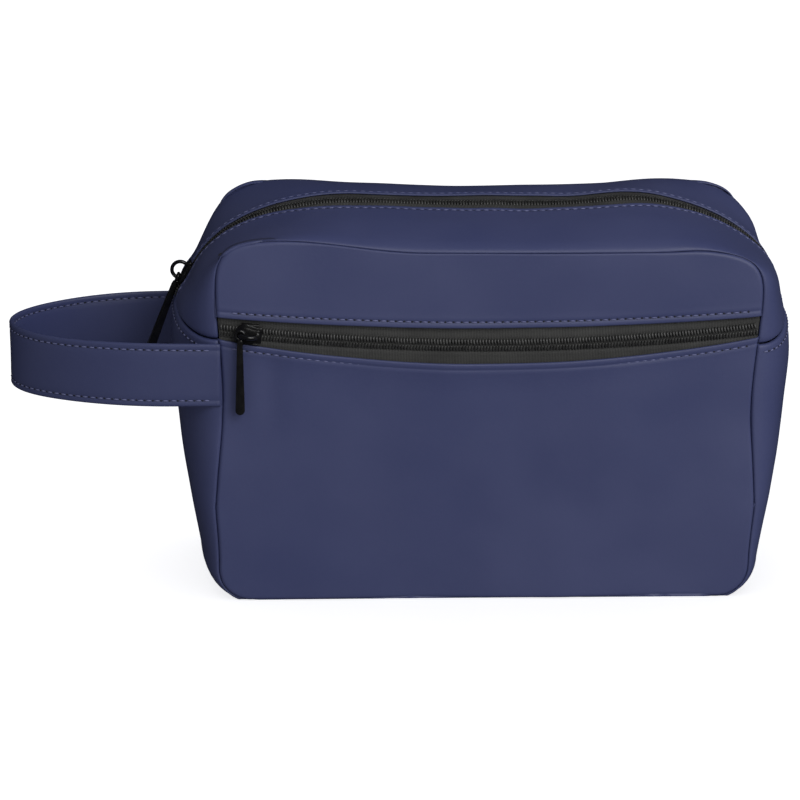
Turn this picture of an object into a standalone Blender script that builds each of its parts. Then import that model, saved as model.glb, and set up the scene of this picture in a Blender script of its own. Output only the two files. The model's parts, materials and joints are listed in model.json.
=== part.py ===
"""Shaving kit bag: a zipped wash bag of coated fabric with a zip pocket in front and a carry strap at one end.

The bag stands on its base at the origin, front towards -Y, strap towards -X, +Z up.
Two flat panels are joined by a gusset that swells between them. The gusset's upper part is split along
the middle by the main zip, and its lower part runs down both sides and under the bag.
"""

import math

import bmesh
import bpy
from mathutils import Matrix, Vector

MM = 0.001

# ---------------------------------------------------------------- driving sizes
PANEL_WIDTH = 254 * MM  # front and back panels, seam to seam
PANEL_HEIGHT = 168 * MM
BAG_DEPTH = 100 * MM  # between the inner faces of the two panels
FABRIC = 1.2 * MM  # coated fabric with its backing
LINING = 0.5 * MM
DIVIDER_EASE = 0.8 * MM  # extra room round the pocket's back wall
BINDING_WIDTH = 6 * MM
BINDING_THICKNESS = 1.2 * MM
BINDING_DEPTH = 3.4 * MM  # behind the panel's inner face
POCKET_DEPTH = 9 * MM
GAP = 0.3 * MM  # left between pieces that touch
LAYER_GAP = 0.4 * MM  # left between curved layers, whose facets don't match

# The outlines, as seen from the front: a foot with round corners, sides, and soft shoulders.
FOOT_RADIUS = 16 * MM
SIDE_SEAM_HEIGHT = 127 * MM  # where the zip gusset meets the lower gusset
SHOULDER_START = 60 * MM  # half the straight part of the top
PANEL_SHOULDER_POWER = 4.5  # a superellipse's power: higher is squarer
SWELL_AT_FOOT = 4 * MM  # how far the gusset stands out past the panels, at mid-depth
SWELL_AT_SEAM = 21 * MM
SWELL_AT_TOP = 13 * MM
SWELL_SHOULDER_POWER = 2.25

# Zips: a coil zip of one size serves both.
CHAIN_SLOT = 1.2 * MM  # between the two coils, where the slider's web runs
COIL_WIDTH = 2.6 * MM
COIL_HEIGHT = 2.0 * MM
TAPE = 0.6 * MM
TAPE_WIDTH = 15.4 * MM  # one half
MAIN_WINDOW = 14 * MM  # tape shown between the two halves of the zip gusset
CHAIN_LOW_Z = 121.5 * MM  # front zip: its lowest point, at mid-width
CHAIN_SAG = 7 * MM  # how far its middle hangs below its ends
TAPE_SHOWN_ABOVE = 5.1 * MM  # from the coil to the upper panel's edge, at mid-width
TAPE_SHOWN_BELOW = 5.0 * MM
WINDOW_ABOVE_CLOSES = 2.3 * MM  # how much less it is at the side seams
WINDOW_BELOW_CLOSES = 4.0 * MM

# Parts of the soft walls that open once a zip is undone.
LIP_END = 0.9  # share of the shoulder's turn at which the moving part of the zip gusset ends
POCKET_LIP_HALF = 80 * MM
POCKET_LIP_FOOT = 96 * MM  # height of the fold line of the pocket's lip

# Slider, bridge and pull, in the slider's own frame: along the chain, across it, out from the tape.
SLIDER_LENGTH = 11 * MM
SLIDER_PLAY = 0.5 * MM  # between the chain and each of the slider's flanges
SLIDER_WALL = 1.2 * MM
SLIDER_FLANGE = 0.8 * MM
SLIDER_WEB = 0.6 * MM
BRIDGE_WIRE = 1.4 * MM
BRIDGE_LEG = 1.6 * MM  # straight part under the arch
ARCH_RADIUS = 3.9 * MM
PULL_LENGTH = 36 * MM
PULL_TOP_WIDTH = 2.6 * MM
PULL_END_WIDTH = 4.4 * MM
PULL_THICKNESS = 2.0 * MM
PULL_EYE_RADIUS = 2.7 * MM
PULL_PLAY = 0.4 * MM  # between the pull's eye and the bridge
FRONT_SLIDER_FROM_END = 15.5 * MM  # its middle, in from the left seam
MAIN_SLIDER_TURN = 22.0  # degrees round the left shoulder, from the side seam
MAIN_PULL_LEAN = 9.0  # degrees towards the bag, off the line of the chain

# Carry strap
STRAP_WIDTH = 30 * MM
STRAP_THICKNESS = 1.8 * MM
STRAP_HEIGHT = 108 * MM  # of its middle
STRAP_REACH = 101 * MM  # past the panels' edge
STRAP_PIVOT_OUT = 19 * MM  # the fold line of its roots, past the panels' edge
STRAP_SWING = 45.0  # degrees either way, which the roots leave room for

# ---------------------------------------------------------------- sizes that follow
HALF_WIDTH = PANEL_WIDTH / 2
HALF_DEPTH = BAG_DEPTH / 2
GUSSET_EDGE = HALF_DEPTH - GAP
TAPE_LEVEL = FABRIC + GAP + TAPE / 2  # from the fabric's face to the middle of the tape behind it
COIL_INNER = CHAIN_SLOT / 2
COIL_OUTER = COIL_INNER + COIL_WIDTH
WINDOW_ABOVE = COIL_OUTER + TAPE_SHOWN_ABOVE
WINDOW_BELOW = COIL_OUTER + TAPE_SHOWN_BELOW
COIL_FOOT = TAPE / 2 + GAP  # above the middle of the tape
COIL_TOP = COIL_FOOT + COIL_HEIGHT
TAPE_OUTER = COIL_INNER + TAPE_WIDTH
FRONT_TAPE_Y = -(HALF_DEPTH + FABRIC) + TAPE_LEVEL
FRONT_CHAIN_RADIUS = (HALF_WIDTH**2 + CHAIN_SAG**2) / (2 * CHAIN_SAG)
PLATE_FOOT = COIL_TOP + GAP  # underside of the slider's top plate
PLATE_TOP = PLATE_FOOT + SLIDER_WALL
SLIDER_BASE = -TAPE / 2 - 2 * LAYER_GAP
BRIDGE_FOOT = PLATE_TOP + GAP
SLIDER_WIDTH = 2 * (COIL_OUTER + SLIDER_PLAY + SLIDER_FLANGE)
FRONT_SLIDER_X = -(HALF_WIDTH - FRONT_SLIDER_FROM_END)
PULL_LEVEL = BRIDGE_FOOT + BRIDGE_LEG  # middle of the pull's thickness, and the arch's centre
STRAP_PIVOT_X = -(HALF_WIDTH + STRAP_PIVOT_OUT)
STRAP_Y = HALF_DEPTH + GAP + STRAP_THICKNESS / 2  # middle of the strap's thickness at its roots

NAVY = (0.045, 0.052, 0.112)
NAVY_DARK = (0.028, 0.033, 0.075)
BLACK = (0.012, 0.012, 0.012)
GREY_LINING = (0.03, 0.03, 0.034)


# ---------------------------------------------------------------- scene and materials
def clear_scene():
    for thing in list(bpy.data.objects):
        bpy.data.objects.remove(thing, do_unlink=True)


def make_material(name, colour, roughness, metallic=0.0):
    made = bpy.data.materials.new(name)
    made.use_nodes = True
    shader = made.node_tree.nodes["Principled BSDF"]
    shader.inputs["Base Color"].default_value = (*colour, 1.0)
    shader.inputs["Roughness"].default_value = roughness
    shader.inputs["Metallic"].default_value = metallic
    return made


def make_materials():
    return {
        "coated_fabric": make_material("coated_fabric", NAVY, 0.55),
        "strap_fabric": make_material("strap_fabric", NAVY_DARK, 0.55),
        "lining": make_material("lining", GREY_LINING, 0.8),
        "zip_tape": make_material("zip_tape", BLACK, 0.85),
        "zip_coil": make_material("zip_coil", BLACK, 0.4),
        "black_metal": make_material("black_metal", BLACK, 0.25, 1.0),
    }


def add_object(name, bm, material, place=None):
    """A mesh object from a bmesh, with its own copy of the material's look."""
    mesh = bpy.data.meshes.new(name)
    bm.to_mesh(mesh)
    bm.free()
    made = bpy.data.objects.new(name, mesh)
    bpy.context.scene.collection.objects.link(made)
    own = material.copy()
    own.name = name
    mesh.materials.append(own)
    if place is not None:
        made.matrix_world = place
    return made


def add_empty(name, place):
    made = bpy.data.objects.new(name, None)
    made.location = place
    bpy.context.scene.collection.objects.link(made)
    return made


def hang_on(empty, *pieces):
    """Parents pieces to an empty that only has a location, and leaves them where they are."""
    for piece in pieces:
        piece.parent = empty
        piece.location = piece.location - empty.location


# ---------------------------------------------------------------- outlines
def side_swell(z):
    """How far the gusset stands out past the panel at height z, up to the side seam."""
    rest = 1 - z / SIDE_SEAM_HEIGHT
    return SWELL_AT_FOOT + (SWELL_AT_SEAM - SWELL_AT_FOOT) * (1 - rest * rest)


def outline(station, swell):
    """(x, z) of an outline's right half. station 0 is the middle of the foot, 1 to 2 the foot's corner,
    2 to 3 the side, 3 to 4 the shoulder and 5 the middle of the top. swell is 0 for the panels' outline
    and 1 for the gusset's at mid-depth."""
    foot_side = HALF_WIDTH + swell * side_swell(FOOT_RADIUS)
    step = station - math.floor(station)
    if station < 1:
        return step * (foot_side - FOOT_RADIUS), 0.0
    if station < 2:
        turn = step * math.pi / 2
        return foot_side - FOOT_RADIUS * (1 - math.sin(turn)), FOOT_RADIUS * (1 - math.cos(turn))
    if station < 3:
        z = FOOT_RADIUS + step * (SIDE_SEAM_HEIGHT - FOOT_RADIUS)
        return HALF_WIDTH + swell * side_swell(z), z
    top = PANEL_HEIGHT + swell * SWELL_AT_TOP
    if station < 4:
        power = PANEL_SHOULDER_POWER + swell * (SWELL_SHOULDER_POWER - PANEL_SHOULDER_POWER)
        side = HALF_WIDTH + swell * SWELL_AT_SEAM
        turn = step * math.pi / 2
        x = SHOULDER_START + (side - SHOULDER_START) * math.cos(turn) ** (2 / power)
        return x, SIDE_SEAM_HEIGHT + (top - SIDE_SEAM_HEIGHT) * math.sin(turn) ** (2 / power)
    return SHOULDER_START * (5 - station), top


def outline_round(station, swell):
    """(x, z) all the way round: stations 5 to 10, or -5 to 0, are the left half."""
    station = station % 10
    if station > 5:
        x, z = outline(10 - station, swell)
        return -x, z
    return outline(station, swell)


def gusset_point(station, depth):
    """A point on the gusset's outer face, depth metres behind the middle of the bag."""
    bulge = math.sqrt(max(0.0, 1 - (depth / GUSSET_EDGE) ** 2))
    inner, outer = outline_round(station, 0), outline_round(station, 1)
    x, z = (a + (b - a) * bulge for a, b in zip(inner, outer))
    return Vector((x, depth, z))


def gusset_normal(station, depth):
    """The outward direction there."""
    reach_along, reach_back = 0.01, 0.05 * MM
    along = gusset_point(station + reach_along, depth) - gusset_point(station - reach_along, depth)
    back = gusset_point(station, depth + reach_back) - gusset_point(station, depth - reach_back)
    return back.cross(along).normalized()


def gusset_layer(station, depth, inset):
    """A point inset metres inside the gusset's outer face."""
    return gusset_point(station, depth) - inset * gusset_normal(station, depth)


def steps(first, last, count):
    return [first + (last - first) * i / count for i in range(count + 1)]


def depths_between(first, last, count):
    """Depths that lie closer together towards the seams, where the gusset turns in."""
    turns = steps(math.asin(first / GUSSET_EDGE), math.asin(last / GUSSET_EDGE), count)
    return [GUSSET_EDGE * math.sin(turn) for turn in turns]


# ---------------------------------------------------------------- ways of making a piece
def draped_strip(name, material, stations, depths, inset, thickness):
    """A strip of the gusset between two depths, as a grid laid on it and given its thickness inwards."""
    bm = bmesh.new()
    columns, rows = len(stations) - 1, len(depths) - 1
    bmesh.ops.create_grid(bm, x_segments=columns, y_segments=rows, size=1.0)
    for vertex in bm.verts:
        column = round((vertex.co.x + 1) / 2 * columns)
        row = round((vertex.co.y + 1) / 2 * rows)
        vertex.co = gusset_layer(stations[column], depths[row], inset)
    bmesh.ops.reverse_faces(bm, faces=bm.faces)
    made = add_object(name, bm, material)
    wall = made.modifiers.new("thickness", "SOLIDIFY")
    wall.thickness = thickness
    wall.offset = -1
    return made


def upright_plate(name, material, points, front, back):
    """A flat plate whose outline is given in x and z, between two depths."""
    bm = bmesh.new()
    face = bm.faces.new([bm.verts.new((x, front, z)) for x, z in points])
    made = bmesh.ops.extrude_face_region(bm, geom=[face])["geom"]
    moved = [piece for piece in made if isinstance(piece, bmesh.types.BMVert)]
    bmesh.ops.translate(bm, verts=moved, vec=(0, back - front, 0))
    bmesh.ops.recalc_face_normals(bm, faces=bm.faces)
    return add_object(name, bm, material)


def band(name, material, left, right, count, low, high, front, back):
    """A plate between two curves, each a height that depends on x."""
    across = steps(left, right, count)
    points = [(x, low(x)) for x in across] + [(x, high(x)) for x in reversed(across)]
    return upright_plate(name, material, points, front, back)


def extruded(name, material, points, low, high, place):
    """A plate whose outline is given in its own x and y, between two of its own heights."""
    bm = bmesh.new()
    face = bm.faces.new([bm.verts.new((x, y, low)) for x, y in points])
    made = bmesh.ops.extrude_face_region(bm, geom=[face])["geom"]
    moved = [piece for piece in made if isinstance(piece, bmesh.types.BMVert)]
    bmesh.ops.translate(bm, verts=moved, vec=(0, 0, high - low))
    bmesh.ops.recalc_face_normals(bm, faces=bm.faces)
    return add_object(name, bm, material, place)


# ---------------------------------------------------------------- front zip's curves
def chain_z(x):
    """The front chain hangs in an arc of one radius, so that a slider can run on it."""
    return CHAIN_LOW_Z + FRONT_CHAIN_RADIUS - math.sqrt(FRONT_CHAIN_RADIUS**2 - x * x)


def window_top(x):
    return chain_z(x) + WINDOW_ABOVE - WINDOW_ABOVE_CLOSES * (x / HALF_WIDTH) ** 2


def window_foot(x):
    return chain_z(x) - WINDOW_BELOW + WINDOW_BELOW_CLOSES * (x / HALF_WIDTH) ** 2


# ---------------------------------------------------------------- panels
def make_panels(looks):
    """The back panel, and the front one in two parts above and below the pocket's zip."""
    fabric = looks["coated_fabric"]
    front_face, front_back = -(HALF_DEPTH + FABRIC), -HALF_DEPTH
    foot = [outline_round(s, 0) for s in steps(-2, -1, 5) + steps(1, 2, 5)]
    crown = [outline_round(s, 0) for s in steps(3.1, 3.9, 8) + steps(4, 6, 2) + steps(6.1, 6.9, 8)]
    seam = outline_round(3, 0)
    whole = foot + [seam] + crown + [(-seam[0], seam[1])]
    lifted = [(x, z + GAP) for x, z in whole]
    back = upright_plate("back_panel", fabric, lifted, HALF_DEPTH, HALF_DEPTH + FABRIC)

    across = steps(-HALF_WIDTH, HALF_WIDTH, 16)
    upper = [(x, window_top(x)) for x in across] + crown
    upper_panel = upright_plate("front_panel_upper", fabric, upper, front_face, front_back)

    left = [x for x in across if x < -POCKET_LIP_HALF - GAP]
    hem_left = [(x, window_foot(x)) for x in left]
    notch_edge = POCKET_LIP_HALF + GAP
    notch_top, notch_foot = window_foot(notch_edge), POCKET_LIP_FOOT - LAYER_GAP
    notch = [(-notch_edge, notch_top), (-notch_edge, notch_foot)]
    hem_right = [(-x, z) for x, z in reversed(hem_left)]
    top_edge = hem_left + notch + [(-x, z) for x, z in reversed(notch)] + hem_right
    lower = [(x, z + GAP) for x, z in foot] + list(reversed(top_edge))
    lower_panel = upright_plate("front_panel_lower", fabric, lower, front_face, front_back)

    lip = band(
        "pocket_lip_panel", fabric, -POCKET_LIP_HALF, POCKET_LIP_HALF, 10,
        lambda x: POCKET_LIP_FOOT + GAP, window_foot, front_face, front_back,
    )
    return {"back": back, "upper": upper_panel, "lower": lower_panel, "lip": lip}


# ---------------------------------------------------------------- gusset
def make_lower_gusset(looks):
    """One strip down the left side, under the bag and up the right side."""
    top = 3 - LAYER_GAP / (SIDE_SEAM_HEIGHT - FOOT_RADIUS)
    right = steps(0, 1, 2) + steps(1.2, 2, 4) + steps(2 + 1 / 6, 2 + 5 / 6, 4) + [top]
    stations = [-s for s in reversed(right[1:])] + right
    depths = depths_between(-GUSSET_EDGE, GUSSET_EDGE, 12)
    return draped_strip("lower_gusset", looks["coated_fabric"], stations, depths, 0, FABRIC)


# The zip gusset's three stretches: round each shoulder, and the top between them, which can open.
END_GAP = 0.014  # in stations, between the stretches
STRETCHES = {
    "right": [3 + LIP_END * i / 9 for i in range(9)] + [3 + LIP_END - END_GAP],
    "top": [3 + LIP_END, 4, 4.5, 5, 5.5, 6, 7 - LIP_END],
    "left": [7 - LIP_END + END_GAP] + [7 - LIP_END * i / 9 for i in range(8, -1, -1)],
}


def make_zip_layer(name, material, near, far, rows, inset, thickness):
    """A layer of the zip gusset, front and back, between two distances from the middle of the chain."""
    made = {}
    for side, sign in (("front", -1), ("back", 1)):
        depths = sorted(sign * d for d in depths_between(near, far, rows))
        for stretch, stations in STRETCHES.items():
            full = f"{name}_{side}" if stretch == "top" else f"{name}_{side}_{stretch}"
            made[side, stretch] = draped_strip(full, material, stations, depths, inset, thickness)
    return made


def make_zip_gusset(looks):
    fabric = make_zip_layer(
        "zip_gusset", looks["coated_fabric"], MAIN_WINDOW / 2, GUSSET_EDGE, 6, 0, FABRIC
    )
    tape = make_zip_layer(
        "main_tape", looks["zip_tape"], COIL_INNER, TAPE_OUTER, 3, TAPE_LEVEL - TAPE / 2, TAPE
    )
    coil = make_zip_layer(
        "main_coil", looks["zip_coil"], COIL_INNER, COIL_OUTER, 1, TAPE_LEVEL - COIL_TOP, COIL_HEIGHT
    )
    for side, sign in (("front", -1), ("back", 1)):
        hinge = add_empty(f"{side}_lip_hinge", (0, sign * HALF_DEPTH, PANEL_HEIGHT))
        hang_on(hinge, *(layer[side, "top"] for layer in (fabric, tape, coil)))


# ---------------------------------------------------------------- front zip
def make_front_zip(looks, lip_panel):
    """Two tapes and two coils. The lower ones are in three stretches, the middle one on the pocket's lip."""
    tape_y = (FRONT_TAPE_Y - TAPE / 2, FRONT_TAPE_Y + TAPE / 2)
    coil_y = (FRONT_TAPE_Y - COIL_TOP, FRONT_TAPE_Y - COIL_FOOT)
    end = HALF_WIDTH - FABRIC
    lip = POCKET_LIP_HALF
    on_lip = [lip_panel]
    layers = (
        ("front_tape", looks["zip_tape"], COIL_INNER, TAPE_OUTER, tape_y),
        ("front_coil", looks["zip_coil"], COIL_INNER, COIL_OUTER, coil_y),
    )
    for name, material, near, far, (front, back) in layers:
        band(
            f"{name}_upper", material, -end, end, 20,
            lambda x, d=near: chain_z(x) + d, lambda x, d=far: chain_z(x) + d, front, back,
        )
        for part, left, right, count in (
            ("_left", -end, -lip - LAYER_GAP, 4), ("", -lip, lip, 12), ("_right", lip + LAYER_GAP, end, 4),
        ):
            made = band(
                f"{name}_lower{part}", material, left, right, count,
                lambda x, d=far: chain_z(x) - d, lambda x, d=near: chain_z(x) - d, front, back,
            )
            if not part:
                on_lip.append(made)
    hinge = add_empty("pocket_lip_hinge", (0, -HALF_DEPTH - FABRIC / 2, POCKET_LIP_FOOT))
    hang_on(hinge, *on_lip)


# ---------------------------------------------------------------- inside
def make_inside(looks):
    """The wall behind the pocket, the lining, and the tape that binds the seams inside."""
    lining = looks["lining"]
    inside = FABRIC + LAYER_GAP
    divider_y = -HALF_DEPTH + POCKET_DEPTH
    round_bag = (
        steps(-2, -1, 4) + steps(1, 2, 4) + steps(2.25, 3, 3) + steps(3.15, 3.9, 5)
        + steps(4, 6, 2) + steps(6.1, 6.85, 5) + steps(7, 7.75, 3)
    )
    wall = [gusset_layer(s, divider_y, inside + DIVIDER_EASE) for s in round_bag]
    upright_plate(
        "pocket_divider", lining, [(p.x, p.z) for p in wall], divider_y, divider_y + LINING
    )

    side = [2.95, 2.7, 2.35, 2, 1.75, 1.5, 1.25, 1, 0.5]
    stations = [-s for s in side] + [0] + list(reversed(side))
    binding_inner = HALF_DEPTH - BINDING_DEPTH - BINDING_THICKNESS
    depths = depths_between(divider_y + LINING + LAYER_GAP, binding_inner - LAYER_GAP, 8)
    draped_strip("lining_gusset", lining, stations, depths, inside, LINING)

    back_wall = [(x * 0.985, z * 0.985 + FABRIC + LAYER_GAP) for x, z in
                 (outline_round(s, 0) for s in round_bag)]
    upright_plate(
        "lining_back", lining, back_wall, HALF_DEPTH - GAP - LINING, HALF_DEPTH - GAP
    )
    for side_name, sign in (("front", -1), ("back", 1)):
        make_binding(f"{side_name}_seam_binding", lining, round_bag, sign)


def make_binding(name, material, stations, sign):
    """A folded tape sewn over the seam allowances, all the way round inside a panel's edge."""
    front = HALF_DEPTH - BINDING_DEPTH
    bm = bmesh.new()
    loops = []
    for inset in (FABRIC + LAYER_GAP, FABRIC + LAYER_GAP + BINDING_WIDTH):
        ring = []
        for s in stations:
            x, z = outline_round(s, 0)
            nearer = 1 - inset / HALF_WIDTH
            middle = PANEL_HEIGHT / 2
            ring.append(bm.verts.new((x * nearer, sign * front, middle + (z - middle) * (1 - inset / middle))))
        loops += [bm.edges.new(pair) for pair in zip(ring, ring[1:] + ring[:1])]
    flat = bmesh.ops.bridge_loops(bm, edges=loops)["faces"]
    made = bmesh.ops.extrude_face_region(bm, geom=flat)["geom"]
    moved = [piece for piece in made if isinstance(piece, bmesh.types.BMVert)]
    bmesh.ops.translate(bm, verts=moved, vec=(0, -sign * BINDING_THICKNESS, 0))
    bmesh.ops.recalc_face_normals(bm, faces=bm.faces)
    return add_object(name, bm, material)


# ---------------------------------------------------------------- sliders and pulls
def slider_profile():
    """The section across the chain: a top plate with flanges, a web in the chain's slot, a bottom plate."""
    half, chamfer = SLIDER_WIDTH / 2, 0.6 * MM
    flange, web = half - SLIDER_FLANGE, SLIDER_WEB / 2
    flange_foot = TAPE / 2 + 0.5 * MM
    base_half = half - 0.5 * MM
    right = [
        (half - chamfer, PLATE_TOP), (half, PLATE_TOP - chamfer), (half, flange_foot),
        (flange, flange_foot), (flange, PLATE_FOOT), (web, PLATE_FOOT), (web, SLIDER_BASE),
        (base_half, SLIDER_BASE), (base_half, SLIDER_BASE - SLIDER_WALL + 0.2 * MM),
    ]
    return right + [(-w, n) for w, n in reversed(right)]


def make_slider(name, looks, place, pull_direction, pull_lean):
    """A slider's body, its bridge and its pull. place takes along, across and out to the bag."""
    metal = looks["black_metal"]
    half = SLIDER_LENGTH / 2
    # The profile is drawn in across and out, so this turns the plate's own height along the chain.
    upright = Matrix(((0, 0, 1, 0), (1, 0, 0, 0), (0, 1, 0, 0), (0, 0, 0, 1)))
    body = extruded(f"{name}_slider_body", metal, slider_profile(), -half, half, place @ upright)
    bridge = make_bridge(f"{name}_slider_bridge", metal, place)
    pull = make_pull(f"{name}_pull", metal, place, pull_direction, pull_lean)
    return body, bridge, pull


def make_bridge(name, metal, place):
    """A wire arch along the slider, on two short legs. The pull's eye goes round it."""
    curve = bpy.data.curves.new(name, "CURVE")
    curve.dimensions = "3D"
    curve.bevel_depth = BRIDGE_WIRE / 2
    curve.bevel_resolution = 2
    curve.use_fill_caps = True
    arch = [
        (-ARCH_RADIUS * math.cos(a), PULL_LEVEL + ARCH_RADIUS * math.sin(a)) for a in steps(0, math.pi, 12)
    ]
    points = [(-ARCH_RADIUS, BRIDGE_FOOT), *arch, (ARCH_RADIUS, BRIDGE_FOOT)]
    line = curve.splines.new("POLY")
    line.points.add(len(points) - 1)
    for point, (along, out) in zip(line.points, points):
        point.co = (along, 0, out, 1)
    made = bpy.data.objects.new(name, curve)
    bpy.context.scene.collection.objects.link(made)
    curve.materials.append(metal.copy())
    made.matrix_world = place
    return made


def make_pull(name, metal, place, direction, lean):
    """A long tab with an eye round the arch's near leg. direction is the way it points, in degrees, and
    lean is how far it is turned out about the arch's centre."""
    eye = [
        (PULL_EYE_RADIUS * math.cos(a), PULL_EYE_RADIUS * math.sin(a))
        for a in steps(math.radians(28), math.radians(332), 12)
    ]
    round_end = [
        (PULL_LENGTH - PULL_END_WIDTH / 2 * (1 - math.cos(a)), PULL_END_WIDTH / 2 * math.sin(a))
        for a in steps(math.radians(-90), math.radians(90), 6)
    ]
    neck = PULL_EYE_RADIUS + 1.2 * MM
    shaft = [(neck, -PULL_TOP_WIDTH / 2)] + round_end + [(neck, PULL_TOP_WIDTH / 2)]
    at = place @ Matrix.Translation((0, 0, PULL_LEVEL)) @ Matrix.Rotation(math.radians(lean), 4, "Y")
    at = at @ Matrix.Translation((-ARCH_RADIUS, 0, 0)) @ Matrix.Rotation(math.radians(direction), 4, "Z")
    made = extruded(name, metal, eye + shaft, -PULL_THICKNESS / 2, PULL_THICKNESS / 2, at)

    hole = bmesh.new()
    bmesh.ops.create_cone(
        hole, cap_ends=True, segments=16, radius1=BRIDGE_WIRE / 2 + PULL_PLAY,
        radius2=BRIDGE_WIRE / 2 + PULL_PLAY, depth=3 * PULL_THICKNESS,
    )
    cutter = add_object(f"{name}_hole", hole, metal, at)
    cutter.hide_render = True
    cutter.display_type = "WIRE"
    cut = made.modifiers.new("eye", "BOOLEAN")
    cut.operation = "DIFFERENCE"
    cut.object = cutter
    return made


def frame_at(point, along, out):
    """A matrix whose own X runs along the chain, Y across it and Z out from the tape."""
    across = out.cross(along)
    made = Matrix((along, across, out)).transposed().to_4x4()
    made.translation = point
    return made


def make_sliders(looks):
    x = FRONT_SLIDER_X
    tilt = math.asin(x / FRONT_CHAIN_RADIUS)
    along, out = Vector((math.cos(tilt), 0, math.sin(tilt))), Vector((0, -1, 0))
    place = frame_at(Vector((x, FRONT_TAPE_Y, chain_z(x))), along, out)
    # The pull hangs straight down, whatever the chain's tilt is there.
    make_slider("front", looks, place, -90 - math.degrees(tilt), 0)

    station = 7 - MAIN_SLIDER_TURN / 90
    out = gusset_normal(station, 0)
    along = Vector((out.z, 0, -out.x))
    place = frame_at(gusset_layer(station, 0, TAPE_LEVEL), along, out)
    make_slider("main", looks, place, 180, -MAIN_PULL_LEAN)


# ---------------------------------------------------------------- strap
def make_strap(looks):
    """A flat loop that bows out in half an ellipse. Its two round ends fold on tabs sewn into the seams."""
    half = STRAP_WIDTH / 2
    reach = STRAP_REACH - STRAP_PIVOT_OUT
    rounding = steps(math.radians(75), 0, 5)
    front_end = [(STRAP_PIVOT_X + half * math.sin(a), -STRAP_Y, half * math.cos(a)) for a in rounding]
    bow = [
        (STRAP_PIVOT_X - reach * math.sin(a), -STRAP_Y * math.cos(a), half)
        for a in steps(0, math.pi, 24)[1:-1]
    ]
    columns = front_end + bow + [(x, -y, h) for x, y, h in reversed(front_end)]
    bm = bmesh.new()
    bmesh.ops.create_grid(bm, x_segments=len(columns) - 1, y_segments=1, size=1.0)
    for vertex in bm.verts:
        x, y, height = columns[round((vertex.co.x + 1) / 2 * (len(columns) - 1))]
        vertex.co = (x, y, STRAP_HEIGHT + math.copysign(height, vertex.co.y))
    loop = add_object("carry_strap", bm, looks["strap_fabric"])
    wall = loop.modifiers.new("thickness", "SOLIDIFY")
    wall.thickness = STRAP_THICKNESS
    wall.offset = 0
    hinge = add_empty("strap_hinge", (STRAP_PIVOT_X, 0, STRAP_HEIGHT))
    hang_on(hinge, loop)

    # A tab reaches round the strap's end as far as the strap's swing leaves it.
    clear = math.radians(90 - STRAP_SWING)
    hollow = [
        (STRAP_PIVOT_X + (half + LAYER_GAP) * math.cos(a), STRAP_HEIGHT + (half + LAYER_GAP) * math.sin(a))
        for a in steps(clear, -clear, 6)
    ]
    root = -HALF_WIDTH - LAYER_GAP
    tab = [(root, STRAP_HEIGHT - half), (root, STRAP_HEIGHT + half)] + hollow
    for side, sign in (("front", -1), ("back", 1)):
        near, far = sign * (HALF_DEPTH + GAP), sign * (HALF_DEPTH + GAP + STRAP_THICKNESS)
        upright_plate(f"strap_root_{side}", looks["strap_fabric"], tab, near, far)


def main():
    clear_scene()
    looks = make_materials()
    panels = make_panels(looks)
    make_lower_gusset(looks)
    make_zip_gusset(looks)
    make_front_zip(looks, panels["lip"])
    make_inside(looks)
    make_sliders(looks)
    make_strap(looks)


main()
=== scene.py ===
# %% [markdown]
# # A shaving kit bag
#
# A soft wash bag is three things at once: fabric that holds its shape, two zips, and small stitched details.
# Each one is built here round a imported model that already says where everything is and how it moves, so
# every visible piece starts from that model's sizes and rides on one of its bodies.

# %% The frame
import bisect
import json
import math

import bmesh
import bpy
from mathutils import Matrix, Quaternion, Vector, noise
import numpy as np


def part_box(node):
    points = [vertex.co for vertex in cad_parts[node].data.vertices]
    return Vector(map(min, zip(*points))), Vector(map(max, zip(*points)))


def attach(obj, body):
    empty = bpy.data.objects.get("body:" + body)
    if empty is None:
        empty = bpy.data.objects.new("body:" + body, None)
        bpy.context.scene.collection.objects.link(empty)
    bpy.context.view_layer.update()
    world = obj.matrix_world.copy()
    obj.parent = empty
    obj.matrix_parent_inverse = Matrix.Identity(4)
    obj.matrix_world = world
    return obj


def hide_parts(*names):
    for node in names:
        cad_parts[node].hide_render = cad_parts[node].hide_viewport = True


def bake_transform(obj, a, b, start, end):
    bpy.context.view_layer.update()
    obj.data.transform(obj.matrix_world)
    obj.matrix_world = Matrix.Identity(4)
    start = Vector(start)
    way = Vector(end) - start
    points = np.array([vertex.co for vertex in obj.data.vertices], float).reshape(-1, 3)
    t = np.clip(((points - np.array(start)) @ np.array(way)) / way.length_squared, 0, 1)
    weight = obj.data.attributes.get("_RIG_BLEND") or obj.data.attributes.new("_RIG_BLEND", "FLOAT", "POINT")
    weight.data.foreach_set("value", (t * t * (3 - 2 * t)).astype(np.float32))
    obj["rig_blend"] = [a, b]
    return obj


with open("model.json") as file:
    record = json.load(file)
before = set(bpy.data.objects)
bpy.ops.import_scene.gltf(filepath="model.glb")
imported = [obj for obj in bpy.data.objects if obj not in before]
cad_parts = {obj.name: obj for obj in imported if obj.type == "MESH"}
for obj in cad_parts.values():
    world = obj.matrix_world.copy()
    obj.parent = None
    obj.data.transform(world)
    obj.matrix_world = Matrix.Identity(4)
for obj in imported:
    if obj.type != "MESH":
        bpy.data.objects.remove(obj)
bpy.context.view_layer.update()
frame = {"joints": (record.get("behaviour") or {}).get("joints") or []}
MM = 0.001

# %% [markdown]
# ## Sizes
#
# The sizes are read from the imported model, so the fabric can't drift away from what it stands for. The
# panels give the seam line, and the gusset's box says how far it swells between them.

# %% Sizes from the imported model
back_low, back_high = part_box("back_panel")
gusset_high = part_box("lower_gusset")[1]
lip_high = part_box("zip_gusset_front")[1]
tape_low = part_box("front_tape_upper")[0]

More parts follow.
